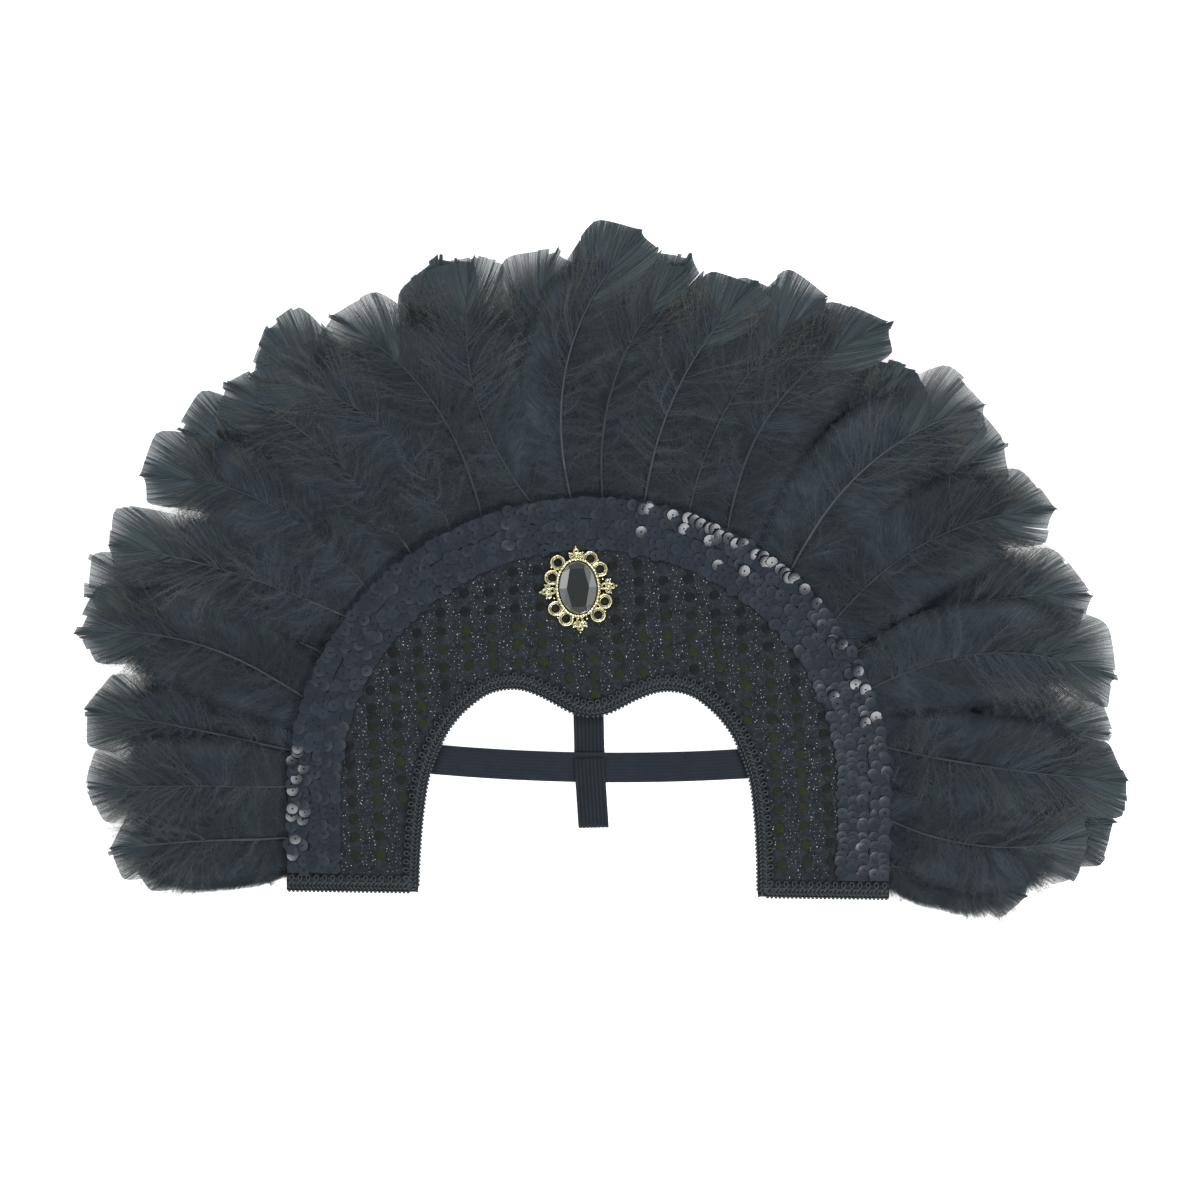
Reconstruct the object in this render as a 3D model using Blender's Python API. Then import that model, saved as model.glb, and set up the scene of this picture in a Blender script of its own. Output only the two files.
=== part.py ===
"""Feather headdress lying on its back, in metres, with +Z up.

A stiff arch panel covered with cloth carries everything. Its front faces up. Two rows of turkey flats,
each on a tape, are stitched under its outer edge, two sequin trims cover that edge, gimp braid follows
the feet and the brow, and a cast brooch sits above the widow's peak. Two elastics cross in the opening.
The origin is on the floor under the crossing of the elastics. +Y points to the top of the fan.
"""
import math

import bmesh
import bpy
import numpy as np

# Gaps between pieces
GAP = 0.0003
ROW_GAP = 0.0004

# Panel
PANEL_HALF_WIDTH = 0.151
ARCH_RISE = 0.1455
ARCH_CENTRE_Y = -0.010
FOOT_Y = -0.0635
PANEL_THICKNESS = 0.0025
OPENING_HALF_WIDTH = 0.085
SCALLOP_TOP_Y = 0.039

# Feather rows
TAPE_THICKNESS = 0.0013
TAPE_WIDTH = 0.019
TAPE_INSET = 0.003
TAPE_FOOT_MARGIN = 0.006
FEATHER_REACH = 0.130
FEATHER_BREADTH = 0.048
ROOT_INSET = 0.012
ROOT_THICKNESS = 0.0009
DOWN_THICKNESS = 0.0066
VANE_THICKNESS = 0.0016
DOWN_START = 0.001
DOWN_FULL = 0.018
DOWN_END = 0.058
VANE_START = 0.112
TIP_CURL = 0.009
CURL_LENGTH = 0.076
SHINGLE_RISE = 0.0007
FEATHER_LIFT = 0.0001
FEATHER_STAGGER = 0.00012
STAGGER_ROWS = 3

# Trims
SEQUIN_OUTER_WIDTH = 0.0112
SEQUIN_INNER_WIDTH = 0.0152
SEQUIN_TRIM_GAP = 0.0005
SEQUIN_TRIM_HEIGHT = 0.0030
SEQUIN_FOOT_MARGIN = 0.0005
VALLEY_SHARE = 0.62
RIM_SHARE = 0.30
BRAID_WIDTH = 0.0092
BRAID_HEIGHT = 0.0017
BRAID_OVERHANG = 0.0010
# Section of the braid. Columns: place across from the overhanging edge, height, as shares.
BRAID_PROFILE = (
    (0.00, 0.00),
    (1.00, 0.00),
    (1.00, 0.55),
    (0.72, 0.75),
    (0.50, 1.00),
    (0.28, 0.75),
    (0.00, 0.55),
)

# Elastics
ELASTIC_THICKNESS = 0.0012
HEAD_ELASTIC_WIDTH = 0.0150
HEAD_ELASTIC_HALF_LENGTH = 0.102
HEAD_ELASTIC_LIFT = 0.0050
CROWN_ELASTIC_WIDTH = 0.0152
CROWN_ELASTIC_TOP_Y = 0.043
CROWN_LOOP_BOTTOM_Y = -0.0305
CROWN_LOOP_TOP_Y = 0.0045
CROWN_TILT = math.radians(2.0)
CROWN_RISE_START = 0.004
CROWN_RISE_RUN = 0.009
ELASTIC_STEPS = 16
FOLD_STEPS = 6

# Brooch
BROOCH_X = -0.0071
BROOCH_Y = 0.090
BROOCH_TILT = math.radians(4.0)
STONE_WIDTH = 0.0187
STONE_LENGTH = 0.0262
STONE_GIRDLE = 0.0010
STONE_HEIGHT = 0.0050
STONE_TABLE_WIDTH = 0.0088
STONE_TABLE_LENGTH = 0.0205
STONE_TABLE_SHOULDER = 0.24
STONE_BACK_SHARE = 0.86
STONE_CLEARANCE = 0.0003
BEZEL_WALL = 0.0019
BEZEL_HEIGHT = 0.0036
SETTING_BASE = 0.0012
RING_WIRE = 0.0010
RING_RADIUS = 0.0031
RING_SIDES = 12
BEZEL_SIDES = 40
LOBE_SIDES = 8
LOBE_RADIUS = 0.0021
LOBE_HEIGHT = 0.0018
LOBE_TAPER = 0.6
LEAF_SPREAD = 1.12
TRIM_NOTCH_GAP = 0.0005
NOTCH_SIDES = 48
CAST_STEP = 0.00005

ROW_BACK = "feather_row_back"
ROW_FRONT = "feather_row_front"

# One row per feather. Columns: place of the root along the outer edge from the left foot to the right
# foot, reach, lean in degrees off the edge's normal, bow of the quill, breadth. Reach and breadth are
# shares of the sizes above, bow is a share of the feather's own reach.
FRONT_FEATHERS = (
    (0.045, 0.69, 4, -0.02, 0.90),
    (0.090, 0.78, 1, -0.01, 0.95),
    (0.170, 0.91, 3, -0.10, 1.00),
    (0.250, 0.95, 20, -0.04, 0.95),
    (0.280, 0.98, 17, -0.13, 0.95),
    (0.330, 0.97, 12, -0.07, 1.00),
    (0.370, 0.98, 27, -0.17, 1.05),
    (0.400, 0.98, 17, -0.12, 1.00),
    (0.445, 0.98, 2, 0.12, 1.05),
    (0.480, 1.08, -19, 0.14, 0.95),
    (0.508, 0.95, -18, 0.12, 0.95),
    (0.545, 0.95, -17, 0.09, 1.00),
    (0.585, 0.99, -14, 0.10, 1.00),
    (0.622, 1.02, -12, 0.15, 1.05),
    (0.688, 1.00, -9, 0.12, 1.05),
    (0.746, 0.96, -10, 0.12, 1.05),
    (0.814, 0.94, -19, 0.13, 1.05),
    (0.868, 0.93, -16, -0.02, 1.00),
    (0.932, 0.77, -3, -0.09, 0.95),
)
BACK_FEATHERS = (
    (0.026, 0.58, 6, 0.00, 0.50),
    (0.122, 0.81, -4, -0.01, 1.00),
    (0.212, 0.94, 15, -0.07, 1.05),
    (0.302, 0.97, 14, -0.08, 1.00),
    (0.354, 1.04, 8, -0.02, 1.00),
    (0.420, 1.01, -2, 0.06, 1.05),
    (0.462, 0.97, -9, 0.11, 1.00),
    (0.525, 0.98, -10, 0.08, 1.00),
    (0.565, 0.95, -14, 0.08, 1.00),
    (0.602, 0.93, -12, 0.08, 1.00),
    (0.660, 0.92, -5, 0.05, 1.05),
    (0.716, 0.95, -5, 0.06, 1.05),
    (0.780, 0.94, -15, 0.08, 1.05),
    (0.840, 0.90, -19, -0.01, 1.00),
    (0.905, 0.88, -8, -0.05, 1.00),
    (0.972, 0.54, -12, 0.02, 0.70),
)

# Sections of a feather. Columns: place along the quill, breadth, as shares.
FEATHER_SECTIONS = (
    (0.20, 0.95),
    (0.42, 1.00),
    (0.66, 1.00),
    (0.86, 0.98),
    (1.00, 0.74),
)
ROOT_BREADTH = 0.30
EDGE_BREADTH = 0.54

# Share of a feather's thickness that its rounded underside takes
LENS_BELOW = 0.4

# Across a feather, from one edge to the other. Columns: place, thickness.
FEATHER_PROFILE = (
    (-1.00, 0.30),
    (-0.52, 0.80),
    (0.00, 1.00),
    (0.52, 0.80),
    (1.00, 0.30),
)

# How far the worn tip falls short at each place across, as shares of the reach. Feathers take the rows
# in turn.
TIP_WEAR = (
    (0.10, 0.02, 0.00, 0.03, 0.08),
    (0.06, 0.00, 0.02, 0.01, 0.11),
    (0.12, 0.04, 0.00, 0.00, 0.06),
)

# Half of the opening's edge, from the widow's peak to the foot. Columns: share of the opening's half
# width, share of the height from the foot to the top of the scallop.
BROW_POINTS = (
    (0.000, 0.868),
    (0.110, 0.888),
    (0.290, 0.964),
    (0.435, 1.000),
    (0.590, 0.980),
    (0.715, 0.908),
    (0.795, 0.838),
    (0.862, 0.750),
    (0.940, 0.585),
    (0.976, 0.390),
    (0.994, 0.180),
    (1.000, 0.000),
)
BROW_STEPS = 3

# Rings round the stone. Columns: share of the stone's width, share of its length, from its centre.
BROOCH_RINGS = (
    (-0.503, 0.496),
    (-0.684, 0.221),
    (-0.631, -0.374),
    (-0.364, -0.580),
    (0.503, -0.542),
    (0.695, -0.290),
    (0.620, 0.328),
    (0.374, 0.542),
)
# Leaf ornaments. Columns: direction in degrees, distance of the leaf's middle from the stone's centre as
# a share of the stone's length.
BROOCH_LEAVES = (
    (90, 0.622),
    (0, 0.580),
    (-90, 0.702),
    (-176, 0.573),
)

# Heights, from the floor up
BACK_ROW_Z = 0.0
FRONT_ROW_Z = BACK_ROW_Z + TAPE_THICKNESS + GAP
PANEL_Z = FRONT_ROW_Z + TAPE_THICKNESS + GAP
PANEL_TOP_Z = PANEL_Z + PANEL_THICKNESS
TRIM_Z = PANEL_TOP_Z + GAP
HEAD_ELASTIC_Z = ELASTIC_THICKNESS + GAP
CROWN_FRONT_Z = HEAD_ELASTIC_Z + ELASTIC_THICKNESS + GAP

LEG_STEPS = 6
ARCH_STEPS = 84


def make_material(name, colour, roughness, metallic=0.0):
    """A Principled material with one colour, roughness and metallic value."""
    material = bpy.data.materials.new(name)
    material.use_nodes = True
    shader = material.node_tree.nodes["Principled BSDF"]
    shader.inputs["Base Color"].default_value = (*colour, 1.0)
    shader.inputs["Roughness"].default_value = roughness
    shader.inputs["Metallic"].default_value = metallic
    material.diffuse_color = (*colour, 1.0)
    return material


def add_object(name, mesh, collection, material):
    """Put a mesh into the scene as one named object."""
    item = bpy.data.objects.new(name, mesh)
    item.data.materials.append(material)
    collection.objects.link(item)
    return item


def loft_mesh(name, rings, run_closed=False):
    """A closed solid skinned over rings of equal point count, with flat ends unless the run closes."""
    rings = np.asarray(rings, dtype=float)
    count, size = rings.shape[:2]
    faces = []
    for i in range(count if run_closed else count - 1):
        near = i * size
        far = (i + 1) % count * size
        for j in range(size):
            k = (j + 1) % size
            faces.append((near + j, near + k, far + k, far + j))
    if not run_closed:
        faces.append(tuple(range(size)))
        faces.append(tuple(range((count - 1) * size, count * size))[::-1])
    mesh = bpy.data.meshes.new(name)
    mesh.from_pydata(rings.reshape(-1, 3).tolist(), [], faces)
    shaped = bmesh.new()
    shaped.from_mesh(mesh)
    bmesh.ops.recalc_face_normals(shaped, faces=shaped.faces)
    bmesh.ops.triangulate(shaped, faces=shaped.faces)
    shaped.to_mesh(mesh)
    shaped.free()
    return mesh


def outer_edge(inset=0.0):
    """The arch's outer edge, moved inwards: left leg, half ellipse over the top, right leg."""
    turn = np.linspace(math.pi, 0.0, ARCH_STEPS + 1)
    arch = np.column_stack((PANEL_HALF_WIDTH * np.cos(turn),
                            ARCH_CENTRE_Y + ARCH_RISE * np.sin(turn)))
    leg_y = np.linspace(FOOT_Y, ARCH_CENTRE_Y, LEG_STEPS, endpoint=False)
    left = np.column_stack((np.full(LEG_STEPS, -PANEL_HALF_WIDTH), leg_y))
    right = left[::-1] * (-1.0, 1.0)
    points = np.vstack((left, arch, right))
    return points - inset * mitres(points)


def mitres(points):
    """The sideways step at each point of a run that keeps both neighbouring stretches parallel."""
    along = np.diff(points, axis=0)
    along /= np.linalg.norm(along, axis=1)[:, None]
    side = np.column_stack((-along[:, 1], along[:, 0]))
    before = np.vstack((side[:1], side))
    after = np.vstack((side, side[-1:]))
    return (before + after) / (1.0 + np.sum(before * after, axis=1))[:, None]


def left_of(direction):
    """A direction in the plane turned a quarter turn to its left."""
    return np.array((-direction[1], direction[0]))


EDGE = outer_edge()
EDGE_SIDE = mitres(EDGE)
EDGE_RUN = np.concatenate(([0.0], np.cumsum(np.linalg.norm(np.diff(EDGE, axis=0), axis=1))))


def edge_frame(share):
    """The point at a share of the outer edge's length, with its outward direction."""
    run = share * EDGE_RUN[-1]
    point = np.array([np.interp(run, EDGE_RUN, EDGE[:, axis]) for axis in range(2)])
    out = np.array([np.interp(run, EDGE_RUN, EDGE_SIDE[:, axis]) for axis in range(2)])
    return point, out / np.linalg.norm(out)


def distance_outside(points):
    """How far each point lies outside the arch's outer edge, negative inside it."""
    starts = EDGE[:-1]
    spans = np.diff(EDGE, axis=0)
    offset = points[:, None, :] - starts[None]
    share = np.clip(np.sum(offset * spans, axis=2) / np.sum(spans * spans, axis=1), 0.0, 1.0)
    away = offset - share[..., None] * spans
    gap = np.linalg.norm(away, axis=2)
    nearest = np.argmin(gap, axis=1)
    rows = np.arange(len(points))
    side = np.sum(away[rows, nearest] * EDGE_SIDE[:-1][nearest], axis=1)
    return np.where(side >= 0.0, gap[rows, nearest], -gap[rows, nearest])


def smooth(low, high, value):
    """Rise from 0 to 1 between two values, level at both ends."""
    share = np.clip((value - low) / (high - low), 0.0, 1.0)
    return share * share * (3.0 - 2.0 * share)


def feather_thickness(outside):
    """Thin under the panel, full in the down beside it and thin again in the vane."""
    down = ROOT_THICKNESS + (DOWN_THICKNESS - ROOT_THICKNESS) * smooth(DOWN_START, DOWN_FULL, outside)
    return down + (VANE_THICKNESS - DOWN_THICKNESS) * smooth(DOWN_END, VANE_START, outside)


def shingle(outside):
    """How much higher one edge of a feather lies than the other, nothing under the panel."""
    return SHINGLE_RISE * smooth(DOWN_START, DOWN_FULL, outside)


def row_floor(row, outside):
    """Height of a row's underside: flat beside the panel, then curling up to the tips."""
    curl = TIP_CURL * np.clip((outside - DOWN_END) / CURL_LENGTH, 0.0, None) ** 2
    if row == ROW_BACK:
        return BACK_ROW_Z + curl
    highest = FEATHER_LIFT + FEATHER_STAGGER * (STAGGER_ROWS - 1)
    bulk = highest + shingle(outside) + feather_thickness(outside)
    puffed = smooth(DOWN_START, DOWN_FULL, outside)
    lift = np.maximum(bulk + ROW_GAP * puffed + GAP * (1.0 - puffed), FRONT_ROW_Z - BACK_ROW_Z)
    return BACK_ROW_Z + curl + lift


def feather_mesh(row, place, spec):
    """One feather as a loft along its quill, from under the panel to the worn tip.

    The quill is a quadratic curve from the root to the tip. Each section is a lens whose edges follow
    the panel's edge at the root and stand square to the quill further out.
    """
    share, reach, lean, bow, breadth = spec
    foot, out = edge_frame(share)
    length = reach * FEATHER_REACH
    angle = math.radians(lean)
    tip = foot + length * (math.cos(angle) * out + math.sin(angle) * left_of(out))
    bend = (foot + tip) / 2.0 + 2.0 * bow * left_of(tip - foot)
    stations = [
        (foot - ROOT_INSET * out, out, ROOT_BREADTH, 0.0),
        (foot + DOWN_START * out, out, EDGE_BREADTH, 0.0),
    ]
    for along, width in FEATHER_SECTIONS:
        point = (1 - along) ** 2 * foot + 2 * along * (1 - along) * bend + along ** 2 * tip
        heading = (1 - along) * (bend - foot) + along * (tip - bend)
        stations.append((point, heading / np.linalg.norm(heading), width, along))
    wear = np.array(TIP_WEAR[place % len(TIP_WEAR)])[:, None]
    profile = np.array(FEATHER_PROFILE)
    rings = []
    for point, heading, width, along in stations:
        half = width * breadth * FEATHER_BREADTH / 2.0
        flat = point + profile[:, :1] * half * left_of(heading) - wear * length * along ** 4 * heading
        outside = distance_outside(flat)
        tilt = shingle(outside) * (profile[:, 0] + 1.0) / 2.0
        low = row_floor(row, outside) + FEATHER_LIFT + FEATHER_STAGGER * (place % STAGGER_ROWS) + tilt
        thick = feather_thickness(outside)
        rim = profile[:, 1]
        under = low + thick * (1.0 - rim) * LENS_BELOW
        over = low + thick * (LENS_BELOW + (1.0 - LENS_BELOW) * rim)
        middle = len(profile) // 2
        lower = np.append(flat[middle], under[middle])
        upper = np.column_stack((flat, over))
        rings.append(np.vstack((upper, lower)))
    return loft_mesh(f"{row}_{place}", rings)


def band_mesh(name, points, profile, base_z):
    """A trim laid along a run of points. The profile's columns are the step outwards and the height."""
    step = mitres(points)
    profile = np.asarray(profile)
    rings = []
    for point, side in zip(points, step):
        flat = point + profile[:, :1] * side
        rings.append(np.column_stack((flat, base_z + profile[:, 1])))
    return loft_mesh(name, rings)


def trimmed_edge(inset, margin):
    """The outer edge moved inwards and stopped short of the feet by a margin."""
    points = outer_edge(inset)
    points[0, 1] = FOOT_Y + margin
    points[-1, 1] = FOOT_Y + margin
    return points[::2]


def build_feather_row(row, specs, tape_z, collection, tools, material):
    """Feathers and their tape, joined into one body."""
    half = TAPE_WIDTH / 2.0
    tape_profile = ((-half, 0.0), (half, 0.0), (half, TAPE_THICKNESS), (-half, TAPE_THICKNESS))
    run = trimmed_edge(TAPE_INSET + half, TAPE_FOOT_MARGIN)
    item = add_object(row, band_mesh(row, run, tape_profile, tape_z), collection, material)
    for place, spec in enumerate(specs):
        feather = add_object(f"{row}_{place}", feather_mesh(row, place, spec), tools, material)
        join(item, feather)
    return item


def join(item, other, operation="UNION"):
    """Boolean one object with another, keep the result as the object's mesh and remove the other."""
    cut = item.modifiers.new(operation.lower(), "BOOLEAN")
    cut.operation = operation
    cut.object = other
    cut.solver = "EXACT"
    depsgraph = bpy.context.evaluated_depsgraph_get()
    result = bpy.data.meshes.new_from_object(item.evaluated_get(depsgraph))
    item.modifiers.clear()
    item.data = result
    bpy.data.objects.remove(other, do_unlink=True)


def brow_half():
    """The right half of the opening's edge, a smooth curve from the peak to the foot."""
    shares = np.array(BROW_POINTS)
    size = np.array((OPENING_HALF_WIDTH, SCALLOP_TOP_Y - FOOT_Y))
    points = shares * size + (0.0, FOOT_Y)
    ends = np.vstack((2 * points[0] - points[1], points, 2 * points[-1] - points[-2]))
    out = []
    for before, start, end, after in zip(ends, ends[1:], ends[2:], ends[3:]):
        for step in range(BROW_STEPS):
            t = step / BROW_STEPS
            out.append(0.5 * (2 * start + (end - before) * t
                              + (2 * before - 5 * start + 4 * end - after) * t ** 2
                              + (3 * start - before - 3 * end + after) * t ** 3))
    out.append(points[-1])
    return np.array(out)


def inner_edge():
    """The opening's edge from the left foot over the peak to the right foot."""
    half = brow_half()
    return np.vstack((half[:0:-1] * (-1.0, 1.0), half))


def build_panel(collection, material):
    """The stiff arch between its outer edge and the opening, as one filled outline."""
    outline = np.vstack((outer_edge(), inner_edge()[::-1]))
    curve = bpy.data.curves.new("panel", "CURVE")
    curve.dimensions = "2D"
    curve.fill_mode = "BOTH"
    curve.extrude = PANEL_THICKNESS / 2.0
    spline = curve.splines.new("POLY")
    spline.points.add(len(outline) - 1)
    for point, place in zip(spline.points, outline):
        point.co = (place[0], place[1], 0.0, 1.0)
    spline.use_cyclic_u = True
    item = bpy.data.objects.new("panel", curve)
    item.location.z = PANEL_Z + PANEL_THICKNESS / 2.0
    curve.materials.append(material)
    collection.objects.link(item)
    return item


def ridge_profile(width, ridges, height):
    """A flat-based section with one low ridge for each row of sequins."""
    top = []
    for step in range(2 * ridges + 1):
        across = -width / 2.0 + width * step / (2 * ridges)
        share = 1.0 if step % 2 else VALLEY_SHARE
        if step in (0, 2 * ridges):
            share = RIM_SHARE
        top.append((across, height * share))
    return [(-width / 2.0, 0.0), (width / 2.0, 0.0)] + top[::-1]


def build_sequin_trims(collection, tools, material):
    """The outer trim of two rows on the panel's edge and the inner trim of three rows beside it.

    The inner trim makes way for the brooch's top ornament.
    """
    trims = (
        ("sequin_trim_outer", SEQUIN_OUTER_WIDTH, 2, SEQUIN_OUTER_WIDTH / 2.0),
        ("sequin_trim_inner", SEQUIN_INNER_WIDTH, 3,
         SEQUIN_OUTER_WIDTH + SEQUIN_TRIM_GAP + SEQUIN_INNER_WIDTH / 2.0),
    )
    foot = BRAID_WIDTH - BRAID_OVERHANG + SEQUIN_FOOT_MARGIN
    for name, width, ridges, inset in trims:
        run = trimmed_edge(inset, foot)
        profile = ridge_profile(width, ridges, SEQUIN_TRIM_HEIGHT)
        add_object(name, band_mesh(name, run, profile, TRIM_Z), collection, material)
    reach = BROOCH_LEAVES[0][1] * STONE_LENGTH + LOBE_RADIUS * (LEAF_SPREAD + 1.0) + TRIM_NOTCH_GAP
    notch = cone_object("notch", reach, reach, 2.0 * SEQUIN_TRIM_HEIGHT, NOTCH_SIDES,
                        brooch_point(0.0, 0.0), TRIM_Z - SEQUIN_TRIM_HEIGHT / 2.0, tools, material)
    join(collection.objects["sequin_trim_inner"], notch, "DIFFERENCE")


def build_braid(collection, material):
    """Gimp braid from one outer foot corner round the opening to the other, mitred at the corners."""
    inner = inner_edge()
    left_corner = np.array((-PANEL_HALF_WIDTH, FOOT_Y))
    right_corner = np.array((PANEL_HALF_WIDTH, FOOT_Y))
    run = np.vstack((left_corner, inner, right_corner))
    low_edge = -BRAID_OVERHANG
    profile = [(low_edge + BRAID_WIDTH * across, BRAID_HEIGHT * height) for across, height in BRAID_PROFILE]
    add_object("braid_trim", band_mesh("braid_trim", run, profile, TRIM_Z), collection, material)


def ribbon_mesh(name, run, width, turn):
    """A flat tape carried along a run in the YZ plane, turned a little about Z."""
    step = mitres(run) * ELASTIC_THICKNESS / 2.0
    rings = []
    for middle, thick in zip(run, step):
        ring = []
        for side, face in ((-1, -1), (1, -1), (1, 1), (-1, 1)):
            y, z = middle + face * thick
            x = side * width / 2.0
            ring.append((x * math.cos(turn) - y * math.sin(turn), x * math.sin(turn) + y * math.cos(turn), z))
        rings.append(ring)
    return loft_mesh(name, rings)


def build_elastics(collection, material):
    """The head elastic from leg to leg and the crown elastic looped round it."""
    half_width = HEAD_ELASTIC_WIDTH / 2.0
    rings = []
    for share in np.linspace(-1.0, 1.0, ELASTIC_STEPS + 1):
        middle = HEAD_ELASTIC_LIFT * share ** 2
        x = share * HEAD_ELASTIC_HALF_LENGTH
        rings.append([(x, middle + side * half_width, HEAD_ELASTIC_Z + face * ELASTIC_THICKNESS)
                      for side, face in ((-1, 0), (1, 0), (1, 1), (-1, 1))])
    add_object("head_elastic", loft_mesh("head_elastic", rings), collection, material)

    low = ELASTIC_THICKNESS / 2.0
    high = CROWN_FRONT_Z + low
    under_panel = PANEL_Z - GAP - low
    centre_y = CROWN_LOOP_BOTTOM_Y + (high - low) / 2.0 + low
    fold = []
    radius = (high - low) / 2.0
    for step in range(FOLD_STEPS + 1):
        angle = math.pi * step / FOLD_STEPS
        fold.append((centre_y - radius * math.sin(angle), (high + low) / 2.0 - radius * math.cos(angle)))
    rise_y = half_width + CROWN_RISE_START
    run = [(CROWN_ELASTIC_TOP_Y, under_panel), (rise_y + CROWN_RISE_RUN, under_panel), (rise_y, low)]
    run += fold + [(CROWN_LOOP_TOP_Y, high)]
    mesh = ribbon_mesh("crown_elastic", np.array(run), CROWN_ELASTIC_WIDTH, CROWN_TILT)
    add_object("crown_elastic", mesh, collection, material)


def brooch_point(x, y):
    """A place on the brooch turned and moved to where the brooch sits on the panel."""
    c = math.cos(BROOCH_TILT)
    s = math.sin(BROOCH_TILT)
    return BROOCH_X + c * x - s * y, BROOCH_Y + s * x + c * y


def ellipse_ring(width, length, height, count, ripple=0.0, start=0.0):
    """Points round an ellipse on the brooch, with every other one drawn in by the ripple."""
    ring = []
    for step in range(count):
        angle = start + 2.0 * math.pi * step / count
        inward = ripple * (step % 2)
        ring.append((*brooch_point((width / 2.0 - inward) * math.cos(angle),
                                   (length / 2.0 - inward) * math.sin(angle)), height))
    return ring


def cone_object(name, radius_low, radius_high, depth, sides, place, low_z, collection, material):
    """A cylinder or cone standing on a height, built from the primitive."""
    mesh = bpy.data.meshes.new(name)
    shape = bmesh.new()
    bmesh.ops.create_cone(shape, cap_ends=True, segments=sides, radius1=radius_low, radius2=radius_high,
                          depth=depth)
    bmesh.ops.translate(shape, verts=shape.verts, vec=(*place, low_z + depth / 2.0))
    shape.to_mesh(mesh)
    shape.free()
    return add_object(name, mesh, collection, material)


def torus_mesh(name, place, centre_z, radius, wire):
    """A wire ring lying flat, with six sides round its wire."""
    rings = []
    for step in range(RING_SIDES):
        turn = 2.0 * math.pi * step / RING_SIDES
        ring = []
        for side in range(6):
            roll = 2.0 * math.pi * side / 6
            out = radius + wire * math.cos(roll)
            ring.append((place[0] + out * math.cos(turn), place[1] + out * math.sin(turn),
                         centre_z + wire * math.sin(roll)))
        rings.append(ring)
    return loft_mesh(name, rings, run_closed=True)


def build_setting(collection, tools, material):
    """The cast setting: a milled bezel on a base, pierced rings and four leaf ornaments."""
    sides = BEZEL_SIDES
    inner_w = STONE_WIDTH + 2.0 * STONE_CLEARANCE
    inner_l = STONE_LENGTH + 2.0 * STONE_CLEARANCE
    outer_w = inner_w + 2.0 * BEZEL_WALL
    outer_l = inner_l + 2.0 * BEZEL_WALL
    top = TRIM_Z + BEZEL_HEIGHT
    base_top = TRIM_Z + SETTING_BASE
    mill = BEZEL_WALL * 0.28
    cup = [
        ellipse_ring(outer_w, outer_l, TRIM_Z, sides),
        ellipse_ring(outer_w, outer_l, top - BEZEL_WALL * 0.7, sides, mill),
        ellipse_ring(outer_w - BEZEL_WALL, outer_l - BEZEL_WALL, top, sides, mill),
        ellipse_ring(inner_w, inner_l, top - BEZEL_WALL * 0.3, sides),
        ellipse_ring(inner_w, inner_l, base_top, sides),
    ]
    item = add_object("brooch_setting", loft_mesh("brooch_setting", cup), collection, material)
    ring_z = TRIM_Z + CAST_STEP + RING_WIRE * math.sin(math.pi / 3.0)
    for place, (across, ahead) in enumerate(BROOCH_RINGS):
        spot = brooch_point(across * STONE_WIDTH, ahead * STONE_LENGTH)
        mesh = torus_mesh(f"ring_{place}", spot, ring_z, RING_RADIUS, RING_WIRE)
        join(item, add_object(f"ring_{place}", mesh, tools, material))
    for place, (bearing, share) in enumerate(BROOCH_LEAVES):
        far = share * STONE_LENGTH
        angle = math.radians(bearing)
        out = np.array((math.cos(angle), math.sin(angle)))
        side = np.array((-out[1], out[0]))
        lobes = (
            (-LOBE_RADIUS * LEAF_SPREAD, 0.0, 1.25),
            (0.0, LOBE_RADIUS * LEAF_SPREAD, 1.0),
            (0.0, -LOBE_RADIUS * LEAF_SPREAD, 1.0),
            (LOBE_RADIUS * LEAF_SPREAD, 0.0, 0.85),
        )
        for lobe, (ahead, aside, size) in enumerate(lobes):
            spot = brooch_point(*(out * (far + ahead) + side * aside))
            low_z = TRIM_Z + CAST_STEP * (lobe + 2)
            radius = LOBE_RADIUS * size
            solid = cone_object(f"lobe_{place}_{lobe}", radius, radius * LOBE_TAPER, LOBE_HEIGHT * size,
                                LOBE_SIDES, spot, low_z, tools, material)
            join(item, solid)
    return item


def build_stone(collection, material):
    """A long oval stone: flat back, girdle, eight crown facets and a six-sided table."""
    low = TRIM_Z + SETTING_BASE + GAP
    girdle_top = low + STONE_HEIGHT * 0.45
    table_z = low + STONE_HEIGHT
    half_w = STONE_TABLE_WIDTH / 2.0
    half_l = STONE_TABLE_LENGTH / 2.0
    shoulder = STONE_TABLE_SHOULDER
    corners = ((half_w, shoulder), (0.0, 1.0), (-half_w, shoulder),
               (-half_w, -shoulder), (0.0, -1.0), (half_w, -shoulder))
    table = []
    for index, (x, share) in enumerate(corners):
        next_x, next_share = corners[(index + 1) % len(corners)]
        table.append((*brooch_point(x, share * half_l), table_z))
        middle = brooch_point((x + next_x) / 2.0, (share + next_share) / 2.0 * half_l)
        table.append((*middle, table_z))
    start = math.atan2(shoulder * STONE_LENGTH, STONE_WIDTH)
    wide = STONE_WIDTH
    tall = STONE_LENGTH
    sides = len(table)
    rings = [
        ellipse_ring(wide * STONE_BACK_SHARE, tall * STONE_BACK_SHARE, low, sides, start=start),
        ellipse_ring(wide, tall, girdle_top - STONE_GIRDLE, sides, start=start),
        ellipse_ring(wide, tall, girdle_top, sides, start=start),
        table,
    ]
    add_object("brooch_stone", loft_mesh("brooch_stone", rings), collection, material)


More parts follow.
